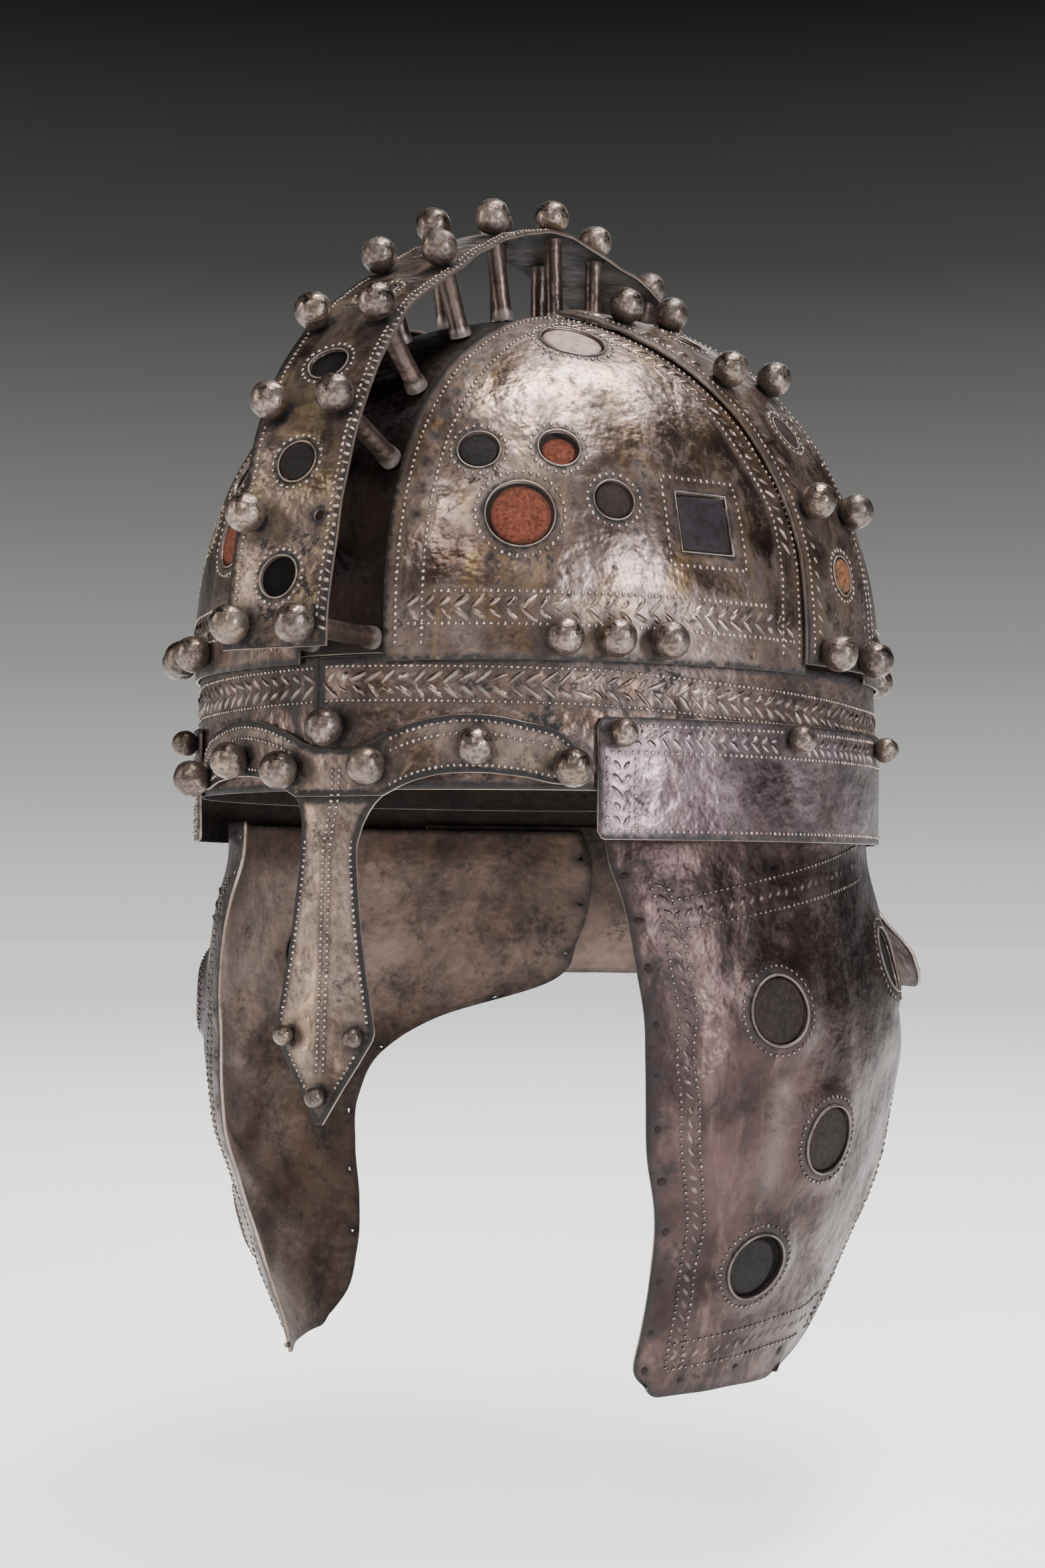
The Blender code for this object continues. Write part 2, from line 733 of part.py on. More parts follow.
def ear_plates(silver):
    """A plate over the brow band from the temple round to the back on each side."""
    gap = math.degrees(SEAM / HEAD_WIDTH)
    for side, sign in SIDES.items():
        def place(u, v):
            angle = EAR_FRONT_ANGLE + (180 - gap - EAR_FRONT_ANGLE) * u
            lift = EAR_CORNER if u < 0.01 and v < 0.01 else 0.0
            height = -EAR_BELOW + (EAR_ABOVE + EAR_BELOW) * v + lift
            return mirrored(on_head(angle, height, PLATE_FACE), sign)

        made = sheet(f"ear_plate_{side}", place, 18, 2, silver)
        studs = [(SMALL_BALL_RADIUS, head_frame(angle, EAR_STUD_HEIGHT, PLATE_FACE, sign)) for angle in EAR_STUD_ANGLES]
        studs_on(made, studs, silver)


def cheek_point(angle, drop, outward=0.0):
    """Point of the left cheek's outer face at an angle and a drop share."""
    front = between(CHEEK_ROWS, drop, 1)
    rear_place = between(CHEEK_ROWS, drop, 4)
    front_place = between(CHEEK_ROWS, drop, 3)
    share = min(max((angle - front) / (100.0 - front), 0.0), 1.0)
    ease = share * (2 - share)
    swell = CHEEK_SWELL * (front_place + (rear_place - front_place) * ease)
    return on_head(angle, -CHEEK_TOP - CHEEK_DROP * drop, swell + outward)


def cheek_frame(angle, drop, sign):
    along = cheek_point(angle + 1, drop) - cheek_point(angle - 1, drop)
    upward = cheek_point(angle, drop - 0.01) - cheek_point(angle, drop + 0.01)
    normal = along.cross(upward).normalized()
    return frame_at(mirrored(cheek_point(angle, drop), sign), mirrored(normal, sign), mirrored(upward, sign))


def cheeks(silver, stones):
    """Two cheek pieces, hung inside the ear plates by the lost lining."""
    for side, sign in SIDES.items():
        def place(u, v):
            row = v * (len(CHEEK_ROWS) - 1)
            low = CHEEK_ROWS[int(min(row, len(CHEEK_ROWS) - 2))]
            high = CHEEK_ROWS[int(min(row, len(CHEEK_ROWS) - 2)) + 1]
            part = row - int(min(row, len(CHEEK_ROWS) - 2))
            drop, front, rear = (a + (b - a) * part for a, b in zip(low[:3], high[:3]))
            return mirrored(cheek_point(front + (rear - front) * u, drop), sign)

        made = sheet(f"cheek_piece_{side}", place, 10, len(CHEEK_ROWS) - 1, silver)
        frames = [(setting, cheek_frame(setting[1], setting[2], sign)) for setting in CHEEK_SETTINGS]
        settings_in(made, [("round", CHEEK_ROUNDEL_RADIUS, frame) for setting, frame in frames], silver)
        for setting, frame in frames:
            if setting[3] if side == "left" else setting[4]:
                stone(f"{setting[0]}_{side}", "round", CHEEK_ROUNDEL_RADIUS, frame, stones["grey_disc"])


def neck_guard(silver):
    """The curved neck guard with its flared lower edge, tucked inside the ear plates."""
    def place(u, v):
        angle = NECK_FRONT_ANGLE + (360 - 2 * NECK_FRONT_ANGLE) * u
        row = v * (len(NECK_ROWS) - 1)
        low = NECK_ROWS[int(min(row, len(NECK_ROWS) - 2))]
        high = NECK_ROWS[int(min(row, len(NECK_ROWS) - 2)) + 1]
        part = row - int(min(row, len(NECK_ROWS) - 2))
        drop = low[0] + (high[0] - low[0]) * part
        flare = low[1] + (high[1] - low[1]) * part
        lift = NECK_CORNER if v > 0.99 and abs(u - 0.5) > 0.49 else 0.0
        return on_head(angle, -NECK_TOP - NECK_DROP * drop + lift, NECK_FLARE * flare)

    sheet("neck_guard", place, 12, len(NECK_ROWS) - 1, silver)


def main():
    clear_scene()
    silver = metal("tarnished_gilt_silver", 0.42, 0.36, 0.31, 0.38, 0.9)
    iron = metal("dark_ridge_metal", 0.09, 0.07, 0.06, 0.6, 0.7)
    grey = metal("grey_glass", 0.09, 0.08, 0.09, 0.35, 0.0)
    red = metal("terracotta_paste", 0.40, 0.12, 0.07, 0.8, 0.0)
    amber = metal("amber_stone", 0.55, 0.28, 0.10, 0.3, 0.0)
    pale = metal("pale_shell", 0.75, 0.62, 0.60, 0.5, 0.0)
    stones = {
        "large_disc": red,
        "red_disc": red,
        "grey_disc": grey,
        "brown_disc": grey,
        "square_stone": grey,
        "top_disc": pale,
        "cabochon": amber,
        "band_disc": grey,
    }
    ridge_strip(iron)
    brow_band(silver)
    bowl_plates(silver, stones)
    side_bands(silver, stones)
    crest(silver, stones)
    nasal_plate(silver)
    ear_plates(silver)
    cheeks(silver, stones)
    neck_guard(silver)


main()
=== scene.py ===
import math

import bpy
import numpy as np
from mathutils import Matrix, Vector
from mathutils.kdtree import KDTree


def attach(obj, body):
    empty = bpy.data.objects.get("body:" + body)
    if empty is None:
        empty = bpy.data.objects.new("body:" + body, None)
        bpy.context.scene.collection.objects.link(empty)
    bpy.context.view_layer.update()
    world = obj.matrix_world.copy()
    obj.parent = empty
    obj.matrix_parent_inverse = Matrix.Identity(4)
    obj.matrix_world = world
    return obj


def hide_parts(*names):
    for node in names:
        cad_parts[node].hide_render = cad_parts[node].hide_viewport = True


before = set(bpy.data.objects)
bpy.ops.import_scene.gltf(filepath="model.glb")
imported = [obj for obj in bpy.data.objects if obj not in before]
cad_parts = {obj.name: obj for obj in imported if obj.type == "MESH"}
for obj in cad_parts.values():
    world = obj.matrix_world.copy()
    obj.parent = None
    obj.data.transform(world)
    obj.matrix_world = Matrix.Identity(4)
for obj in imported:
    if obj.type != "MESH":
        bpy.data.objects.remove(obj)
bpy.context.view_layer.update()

# Ridge strip: dark plain sheet that runs fore and aft over the cap, under the crest.
# It is beaten wider at the crown, and the bowl plates lap over both its edges.
HALF_LENGTH = 119.7
HALF_WIDTH = 104.0
BAND_TOP = 25.0
BOWL_RISE = 117.0
CROWN_BACK = 10.7
SHEET = 1.0
FRONT_POWER = 2.58
REAR_POWER = 2.14
SIDE_POWER = 2.30
STEP = 0.15
SIDES = (("left", 1), ("right", -1))
RIDGE_TURNS = (-90, -60, -42, -28, 0, 20, 40, 60, 90)
RIDGE_HALF_WIDTHS = (16.1, 17.2, 21.8, 35.4, 45.8, 41.6, 21.8, 17.2, 16.1)


def bowl_power(forward):
    """Fullness of the bowl towards the brow, the ears and the nape."""
    end = np.where(forward > 0, FRONT_POWER, REAR_POWER)
    return SIDE_POWER + (end - SIDE_POWER) * forward**2


def crown_form(side, along):
    """Points of the bowl in millimetres, over shares of its half width and half length."""
    ring = np.clip(np.hypot(side, along), 1e-9, 1.0)
    power = bowl_power(-along / ring)
    share = (1 - ring**power) ** (1 / power)
    return np.stack(
        [HALF_WIDTH * side, HALF_LENGTH * along + CROWN_BACK * (1 - ring), BAND_TOP + BOWL_RISE * share], -1
    )


def ridge_form(side, turn):
    """Points of a fore-and-aft line at side millimetres from the middle, at a turn over the crown."""
    turn = np.clip(turn, -90, 90)
    side = side / HALF_WIDTH
    power = np.where(turn < 0, FRONT_POWER, REAR_POWER)
    reach = np.abs(np.sin(np.radians(turn))) ** (2 / power)
    return crown_form(side + 0 * turn, np.sign(turn) * reach * np.sqrt(1 - side**2))


def unit(vectors):
    return vectors / np.maximum(np.linalg.norm(vectors, axis=-1, keepdims=True), 1e-12)


def axes_on(face, a, b):
    """Points of a face, its two directions and its outward normals, at the places a and b."""
    point = face(a, b)
    first = unit(face(a + STEP, b) - face(a - STEP, b))
    second = unit(face(a, b + STEP) - face(a, b - STEP))
    normal = unit(np.cross(first, second))
    outward = np.sum(normal * (point - np.array((0.0, 0.0, BAND_TOP))), -1, keepdims=True)
    return point, first, second, np.where(outward < 0, -normal, normal)


beating = np.random.default_rng(11)
beat_ways = unit(beating.normal(size=(26, 3))) * (2 * np.pi / beating.uniform(14, 62, size=(26, 1)))
beat_starts = beating.uniform(0, 6.28, size=26)


def beaten(points):
    """Uneven swells of sheet beaten by hand, about -1 to 1."""
    return np.sin(points @ beat_ways.T + beat_starts).sum(-1) / 5.0


def face_over(form, outward, dent=0.28, swell=None):
    """The outer face of a sheet that lies outward millimetres over a form, with its dents and swells."""
    def face(a, b):
        a, b = np.broadcast_arrays(np.asarray(a, float), np.asarray(b, float))
        point, first, second, normal = axes_on(form, a, b)
        lift = outward + dent * beaten(point)
        if swell is not None:
            lift = lift + swell(a, b, point)
        return point + normal * lift[..., None]
    return face


def smooth_line(x, xs, ys):
    """Values at x of a smooth line through the corners xs and ys."""
    xs = np.asarray(xs, float)
    ys = np.asarray(ys, float)
    slopes = np.gradient(ys, xs)
    x = np.clip(x, xs[0], xs[-1])
    n = np.clip(np.searchsorted(xs, x) - 1, 0, len(xs) - 2)
    width = xs[n + 1] - xs[n]
    t = (x - xs[n]) / width
    return (
        (2 * t**3 - 3 * t**2 + 1) * ys[n] + (t**3 - 2 * t**2 + t) * width * slopes[n]
        + (3 * t**2 - 2 * t**3) * ys[n + 1] + (t**3 - t**2) * width * slopes[n + 1]
    )


def even_values(form, a, start, end, count):
    """Values from start to end that cut the line of a form at a into equal lengths."""
    fine = np.linspace(start, end, 1500)
    points = form(a + 0 * fine, fine)
    run = np.concatenate([[0], np.cumsum(np.linalg.norm(np.diff(points, axis=0), axis=1))])
    return np.interp(np.linspace(0, run[-1], count), run, fine)


def add_node(material, kind, inputs=None, **settings):
    """Adds a node to a material with its settings, values and links."""
    node = material.node_tree.nodes.new(kind)
    for name, value in settings.items():
        setattr(node, name, value)
    for name, value in (inputs or {}).items():
        if isinstance(value, bpy.types.NodeSocket):
            material.node_tree.links.new(value, node.inputs[name])
        else:
            node.inputs[name].default_value = value
    return node


def from_hex(colour):
    """An sRGB hex colour as a linear colour."""
    parts = [int(colour[n:n + 2], 16) / 255 for n in (0, 2, 4)]
    return tuple(p / 12.92 if p <= 0.04045 else ((p + 0.055) / 1.055) ** 2.4 for p in parts) + (1.0,)


def noise(made, place, scale, detail, roughness, distortion=0.0):
    """Shares between 0 and 1 from a noise texture."""
    return add_node(made, "ShaderNodeTexNoise", {
        "Vector": place, "Scale": scale, "Detail": detail, "Roughness": roughness,
        "Distortion": distortion}).outputs["Fac"]


def ranged(made, value, low, high, new_low=0.0, new_high=1.0):
    """A value between low and high, carried over to a new range."""
    return add_node(made, "ShaderNodeMapRange", {
        "Value": value, "From Min": low, "From Max": high,
        "To Min": new_low, "To Max": new_high}).outputs["Result"]


def mixed(made, share, first, second):
    """A share of the second colour in the first, each a hex colour or the output of a node."""
    first, second = (from_hex(colour) if isinstance(colour, str) else colour for colour in (first, second))
    return add_node(made, "ShaderNodeMix", {
        "Factor": share, "A": first, "B": second}, data_type="RGBA").outputs["Result"]


def sums(made, operation, *values, clamp=False):
    """The result of a math node."""
    return add_node(
        made, "ShaderNodeMath", dict(enumerate(values)), operation=operation, use_clamp=clamp).outputs[0]


def raised(made, height, strength, distance, **under):
    """The normal of a bump, over another one if it is given."""
    return add_node(made, "ShaderNodeBump", {
        "Height": height, "Strength": strength, "Distance": distance, **under}).outputs["Normal"]


def new_material(name):
    """A material, the sockets of its shader by name and the place on the object."""
    made = bpy.data.materials.new(name)
    made.use_nodes = True
    place = add_node(made, "ShaderNodeTexCoord").outputs["Object"]
    return made, made.node_tree.nodes["Principled BSDF"].inputs, place


def old_metal(
        name, bright, brown, gold, gilding, tarnish, gloss,
        metallic=1.0, streak=1.0, relief=1.0, soot_and_shade_depth=1.0, dents=1.0):
    """Beaten sheet silver, once gilt: grey and brown clouds, gold left in places, soot and painted shade in
    the recesses and gaps, bare silver and painted highlights on worn and raised places.
    """
    made, sockets, place = new_material(name)
    link = made.node_tree.links.new
    rub_and_light = add_node(made, "ShaderNodeAttribute", attribute_name="rub_and_light").outputs["Fac"]
    soot_and_shade = add_node(made, "ShaderNodeAttribute", attribute_name="soot_and_shade").outputs["Fac"]

    # Clouds about 28 mm across turn the silver from grey to brown
    clouds = noise(made, place, 36.0, 6.0, 0.62, 0.4)
    colour = mixed(made, ranged(made, clouds, 0.36, 0.62), bright, brown)

    # Gilding survives as patches about 12 mm across, drawn out along the strokes of the rubbing
    drawn = add_node(made, "ShaderNodeMapping", {
        "Vector": place, "Rotation": (0.4, 0.2, 0.5),
        "Scale": (1.0, 1.0, 1.0 / (1.0 + streak))}).outputs["Vector"]
    patches = noise(made, drawn, 84.0, 7.0, 0.66, 0.8)
    colour = mixed(made, ranged(made, patches, 0.50, 0.68, new_high=gilding), colour, gold)

    # Corrosion specks are 1 to 3 mm across, and ragged stains are ten times as large
    specks = noise(made, place, 390.0, 5.0, 0.7)
    stains = noise(made, place, 62.0, 4.0, 0.55)
    speck_share = ranged(made, sums(made, "MULTIPLY", specks, stains), 0.27, 0.40, new_high=tarnish)
    ragged = noise(made, drawn, 58.0, 9.0, 0.72, 1.1)
    patch_share = ranged(
        made, ragged, 0.58 - 0.05 * tarnish, 0.70 - 0.05 * tarnish, new_high=0.62 * tarnish)
    # Marked dark places hold soot and also painted shade: in recesses, along edges and gaps, and at the feet
    # of beads and balls
    soot_and_shade_share = sums(made, "MULTIPLY", sums(made, "MULTIPLY", soot_and_shade, specks), 1.75 * soot_and_shade_depth)
    stained = sums(made, "MAXIMUM", patch_share, speck_share)
    dark_share = sums(made, "MAXIMUM", soot_and_shade_share, stained, clamp=True)
    colour = mixed(made, dark_share, colour, "161315")

    # Rubbed places show bare silver; the same lighter colour also paints highlights on raised tops and a pool
    # of light on the far cheek
    bare = sums(made, "MULTIPLY", sums(made, "MULTIPLY", rub_and_light, specks), 1.6, clamp=True)
    link(mixed(made, bare, colour, "cfc4bc"), sockets["Base Color"])
    rough = ranged(made, stains, 0.3, 0.7, gloss, gloss + 0.14)
    link(sums(made, "MULTIPLY_ADD", dark_share, 0.34, rough), sockets["Roughness"])
    link(ranged(made, dark_share, 0.0, 1.0, metallic, metallic * 0.3), sockets["Metallic"])

    # The planishing hammer leaves facets about 4 mm across, burial leaves pits of half a millimetre
    planish = noise(made, place, 210.0, 2.0, 0.5)
    pits = noise(made, place, 1500.0, 3.0, 0.6)
    facets = raised(made, planish, 0.46, 0.0012 * dents / relief)
    link(raised(made, pits, min(0.26 * relief, 1.0), 0.00016 * relief, Normal=facets), sockets["Normal"])
    return made


def marked(made, rub_and_light, soot_and_shade):
    """Gives a mesh its worn and lightened places and its sooty and shaded places, one value a vertex."""
    for name, values in (("rub_and_light", rub_and_light), ("soot_and_shade", soot_and_shade)):
        layer = made.data.attributes.get(name) or made.data.attributes.new(name, "FLOAT", "POINT")
        values = np.broadcast_to(values, len(made.data.vertices))
        layer.data.foreach_set("value", np.clip(values, 0, 1).astype(float))


def distances(points, targets):
    """Distance in millimetres from each point to the nearest target."""
    tree = KDTree(len(targets))
    for n, target in enumerate(targets / 1000):
        tree.insert(target, n)
    tree.balance()
    return np.array([tree.find(point)[2] for point in points / 1000]) * 1000


def with_marks(points, values, marks):
    """Values at the points, raised by marks that fade out round their places."""
    for places, reach, strength in marks:
        values = np.maximum(values, strength * np.exp(-((distances(points, places) / reach) ** 2)))
    return values


def primitive(add, name, **settings):
    """Adds a named primitive with nothing else selected."""
    bpy.ops.object.select_all(action="DESELECT")
    add(**settings)
    made = bpy.context.object
    made.name = name
    return made


def own_points(made):
    return np.array([v.co for v in made.data.vertices])


def set_points(made, spots, side=1):
    """Moves a mesh to points in millimetres, mirrored for the right side."""
    made.data.vertices.foreach_set("co", (spots * (side, 1, 1) / 1000).ravel())


def clean_mesh(made, degrees, weld=False):
    """Turns the active mesh's faces outwards and smooths all but its sharp edges."""
    bpy.ops.object.mode_set(mode="EDIT")
    bpy.ops.mesh.select_all(action="SELECT")
    if weld:
        bpy.ops.mesh.remove_doubles(threshold=0.00001)
    bpy.ops.mesh.normals_make_consistent(inside=False)
    bpy.ops.object.mode_set(mode="OBJECT")
    bpy.ops.object.shade_smooth_by_angle(angle=math.radians(degrees))


def flip_mesh():
    """Turns every face of the active mesh round."""
    bpy.ops.object.mode_set(mode="EDIT")
    bpy.ops.mesh.flip_normals()
    bpy.ops.object.mode_set(mode="OBJECT")


def new_sheet(
        name, face, spread, columns, rows, outer, inner, side=1, holes=(), soot_and_shade_marks=(), rub_and_light_marks=(), edge_soot_and_shade=1.0):
    """A sheet whose outer face is face(a, b) over the places spread(u, v), pierced, walled, weathered and
    darkened with painted shade.
    A hole is a shape, a half size and the places a and b of its middle."""
    made = primitive(
        bpy.ops.mesh.primitive_grid_add, name, x_subdivisions=columns, y_subdivisions=rows, size=1)
    mesh = made.data
    flat = own_points(made)
    points = face(*spread(flat[:, 0] + 0.5, flat[:, 1] + 0.5))
    corners = np.empty(len(mesh.polygons) * 4, int)
    mesh.polygons.foreach_get("vertices", corners)
    corners = corners.reshape(-1, 4)
    gone = np.zeros(len(corners), bool)
    for shape, half, a, b in holes:
        centre, first, second, normal = axes_on(face, np.float64(a), np.float64(b))
        second = unit(second - first * (first @ second))
        away = points - centre
        near = np.abs(away @ normal) < 12
        x = away @ first
        y = away @ second
        reach = np.hypot(x, y) if shape == "round" else np.maximum(np.abs(x), np.abs(y))
        reach = np.where(near, reach, 1e6)
        middle = reach[corners].mean(1)
        inside = middle < half
        if not inside.any():
            inside = middle == middle.min()
        gone |= inside
        rim = np.zeros(len(points), bool)
        rim[corners[inside].ravel()] = True
        kept = np.zeros(len(points), bool)
        kept[corners[~gone].ravel()] = True
        rim = np.flatnonzero(rim & kept)
        scale = half / np.maximum(reach[rim], 0.05)
        points[rim] += ((scale - 1) * x[rim])[:, None] * first + ((scale - 1) * y[rim])[:, None] * second
        if shape == "square" and len(rim) > 8:
            for right in (-half, half):
                for up in (-half, half):
                    away = points[rim] - centre
                    nearest = rim[np.argmin(np.hypot(away @ first - right, away @ second - up))]
                    gap = points[nearest] - centre
                    points[nearest] += (right - gap @ first) * first + (up - gap @ second) * second
    count = np.zeros(len(points), int)
    np.add.at(count, corners[~gone].ravel(), 1)
    border = (count > 0) & (count < 4)
    edge = distances(points, points[border])
    rub_and_light = with_marks(points, np.zeros(len(points)), rub_and_light_marks)
    # Every edge, hole rim and marked place is darkened: soot and tarnish there, and painted shade in the gaps
    # between sheets and in the recesses
    soot_and_shade = with_marks(points, edge_soot_and_shade * (np.exp(-((edge / 1.7) ** 2)) + 0.22 * np.exp(-edge / 8)), soot_and_shade_marks)
    set_points(made, points, side)
    mesh.materials.append(outer)
    mesh.materials.append(inner)
    mesh.materials.append(edge_metal)
    marked(made, rub_and_light, soot_and_shade)
    mesh.update()
    bpy.ops.object.mode_set(mode="EDIT")
    bpy.ops.mesh.select_all(action="DESELECT")
    bpy.ops.object.mode_set(mode="OBJECT")
    mesh.polygons.foreach_set("select", gone)
    bpy.ops.object.mode_set(mode="EDIT")
    bpy.context.tool_settings.mesh_select_mode = (False, False, True)
    bpy.ops.mesh.delete(type="FACE")
    bpy.ops.mesh.select_all(action="SELECT")
    bpy.ops.mesh.normals_make_consistent(inside=False)
    bpy.ops.object.mode_set(mode="OBJECT")
    outward = sum(f.normal.dot(f.center - Vector((0, 0, 0.025))) for f in mesh.polygons)
    if outward < 0:
        flip_mesh()
    thick = made.modifiers.new("wall", "SOLIDIFY")
    thick.thickness = SHEET / 1000
    thick.offset = -1
    thick.material_offset = 1
    thick.material_offset_rim = 2
    bpy.ops.object.modifier_apply(modifier="wall")
    worn = made.modifiers.new("worn edge", "BEVEL")
    worn.width = 0.00018
    worn.segments = 1
    worn.limit_method = "ANGLE"
    worn.angle_limit = math.radians(55)
    bpy.ops.object.modifier_apply(modifier="worn edge")
    bpy.ops.object.shade_smooth_by_angle(angle=math.radians(48))
    return made


def turned(places, degrees):
    """The same places with their two directions turned about the normal."""
    points, forward, sideways, normal = places
    cosine, sine = np.cos(np.radians(degrees)), np.sin(np.radians(degrees))
    return points, forward * cosine + sideways * sine, sideways * cosine - forward * sine, normal


def new_mesh(name, spots, faces, material, side):
    """A smooth mesh from points in millimetres, mirrored for the right side."""
    mesh = bpy.data.meshes.new(name)
    mesh.from_pydata((spots * (side, 1, 1) / 1000).tolist(), [], faces)
    mesh.materials.append(material)
    mesh.shade_smooth()
    made = bpy.data.objects.new(name, mesh)
    bpy.context.scene.collection.objects.link(made)
    return made


def stamped(
        name, model, places, sizes, material, side=1, rub_and_light=(0.0, 1.0), soot_and_shade=(0.8, 0.0), uneven=0.18):
    """Copies of a small model as one mesh, each struck a little differently on its point of the sheet."""
    chance = np.random.default_rng(len(places[0]))
    points, forward, sideways, normal = turned(places, chance.normal(size=(len(places[0]), 1)) * 40 * uneven)
    shape = own_points(model)
    sizes = np.asarray(sizes, float) * (1 + uneven * np.clip(chance.normal(size=(len(points), 3)), -2, 2))
    struck = np.repeat(chance.uniform(0.25, 1.0, len(points)), len(shape))
    spots = points[:, None]
    for n, way in enumerate((forward, sideways, normal)):
        spots = spots + (shape[None, :, n] * sizes[:, None, n])[..., None] * way[:, None]
    faces = [tuple(p.vertices) for p in model.data.polygons]
    if side < 0:
        faces = [face[::-1] for face in faces]
    starts = range(0, len(points) * len(shape), len(shape))
    every = [tuple(n + start for n in face) for start in starts for face in faces]
    made = new_mesh(name, spots.reshape(-1, 3), every, material, side)
    # Each copy is lighter towards its top and darker at its foot: wear and a painted highlight on top, soot
    # and painted shade at the foot
    high = np.clip(shape[:, 2] / shape[:, 2].max(), 0, 1)
    bright = np.tile(rub_and_light[0] + (rub_and_light[1] - rub_and_light[0]) * high, len(points)) * struck
    marked(made, bright, np.tile(soot_and_shade[0] + (soot_and_shade[1] - soot_and_shade[0]) * high, len(points)))
    return made


def joined(made, parts):
    """Makes one piece of a sheet and what is fixed to it."""
    bpy.ops.object.select_all(action="DESELECT")
    for part in parts:
        part.select_set(True)
    made.select_set(True)
    bpy.context.view_layer.objects.active = made
    if parts:
        bpy.ops.object.join()
    return made


def placed(made, node):
    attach(made, "root")
    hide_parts(node)


# Dark ridge metal: thin silver gone brown-black, dull where the posts' solder has burnt it
ridge_metal = old_metal("blackened ridge metal", "2c2321", "1a1514", "2e231a", 0.3, 0.9, 0.5)
# The inner faces are darker than their tarnish alone: painted shade inside the helmet and under the crest
inner_metal = old_metal(
    "brown and shaded inner face of the silver", "382d28", "1d1714", "33281b", 0.5, 0.9, 0.5, metallic=0.35)
edge_metal = old_metal("bare cut edge of the sheet", "a3948b", "75665f", "9c8660", 0.4, 0.5, 0.30, soot_and_shade_depth=0.2)

ridge_turns = even_values(ridge_form, 0.0, -89.59, 89.05, 170)


def ridge_spread(u, v):
    turn = np.interp(v, np.linspace(0, 1, len(ridge_turns)), ridge_turns)
    return (2 * u - 1) * np.interp(turn, RIDGE_TURNS, RIDGE_HALF_WIDTHS), turn


ridge_face = face_over(ridge_form, -0.7, dent=0.12)
ridge = new_sheet("dark_ridge_strip", ridge_face, ridge_spread, 20, 170, ridge_metal, inner_metal)
placed(ridge, "ridge_strip")

# Brow band: two half bands of gilt silver round the foot of the bowl, one lapped over the other at the brow.
# Two rows of punched beads hold a herringbone of leaf strokes between them.
BAND_FOOT = -10.5
BAND_HEAD = 27.0
BAND_JOIN = -4.0
BEAD_PITCH = 1.95
CLOSE_PITCH = 1.75


def head_form(degrees, height):
    """Points of the head form at an angle from the brow and a height over the head seat."""
    turn = np.radians(degrees)
    share = np.clip((height - BAND_TOP) / BOWL_RISE, 0.0, 1.0)
    power = bowl_power(np.cos(turn))
    ring = (1 - share**power) ** (1 / power)
    return np.stack([
        HALF_WIDTH * ring * np.sin(turn),
        -HALF_LENGTH * ring * np.cos(turn) + CROWN_BACK * (1 - ring),
        height + 0 * turn,
    ], -1)


def along_line(face, a, b, pitch, phase=0.5):
    """Places at equal steps along a line drawn over a face through the corners a and b."""
    a = np.asarray(a, float)
    b = np.asarray(b, float)
    t = np.linspace(0, 1, 900)
    corners = np.linspace(0, 1, len(a))
    fine = face(np.interp(t, corners, a), np.interp(t, corners, b))
    run = np.concatenate([[0], np.cumsum(np.linalg.norm(np.diff(fine, axis=0), axis=1))])
    count = max(int(round(run[-1] / pitch)), 1)
    at = np.interp((np.arange(count) + phase) * run[-1] / count, run, t)
    here = (np.interp(at, corners, a), np.interp(at, corners, b))
    point, first, second, normal = axes_on(face, *here)
    ahead = np.stack([np.interp(at, t, np.gradient(fine[:, n], t)) for n in range(3)], -1)
    forward = unit(ahead - normal * np.sum(ahead * normal, -1, keepdims=True))
    return point, forward, unit(np.cross(normal, forward)), normal


def shifted(face, a, b, right, up):
    """The places right and up millimetres away along a face's own directions."""
    for share in (0.5, 0.5):
        per_a = (face(a + STEP, b) - face(a - STEP, b)) / (2 * STEP)
        per_b = (face(a, b + STEP) - face(a, b - STEP)) / (2 * STEP)
        first = unit(per_a)
        slant = np.sum(per_b * first, -1)
        upward = np.linalg.norm(per_b - first * slant[..., None], axis=-1)
        db = share * up / upward
        da = (share * right - db * slant) / np.linalg.norm(per_a, axis=-1)
        a = a + da
        b = b + db
    return a, b


def some(places, chosen):
    return tuple(part[chosen] for part in places)


def together(groups):
    return tuple(np.concatenate([group[n] for group in groups]) for n in range(4))


# One punched bead: seven sides, a flared foot and a round top
bead = primitive(
    bpy.ops.mesh.primitive_cone_add, "punched_bead_pattern",
    vertices=7, radius1=1.0, radius2=0.58, depth=0.72, end_fill_type="TRIFAN")
for vertex in bead.data.vertices:
    vertex.co.z += 0.30
    if math.hypot(vertex.co.x, vertex.co.y) < 0.01:
        vertex.co.z += 0.34 if vertex.co.z > 0 else 0.0

# One leaf stroke: a soft mound that runs out into the sheet all round
leaf = primitive(
    bpy.ops.mesh.primitive_uv_sphere_add, "leaf_stroke_pattern", segments=12, ring_count=10, radius=1.0)
bpy.ops.object.mode_set(mode="EDIT")
bpy.ops.mesh.select_all(action="SELECT")
bpy.ops.mesh.bisect(plane_co=(0, 0, 0), plane_no=(0, 0, 1), clear_inner=True, threshold=0.001)
bpy.ops.object.mode_set(mode="OBJECT")
for vertex in leaf.data.vertices:
    away = min(math.hypot(vertex.co.x, vertex.co.y), 1.0)
    vertex.co.z = 0.9 * (1 - away**2) ** 1.5 - 0.03

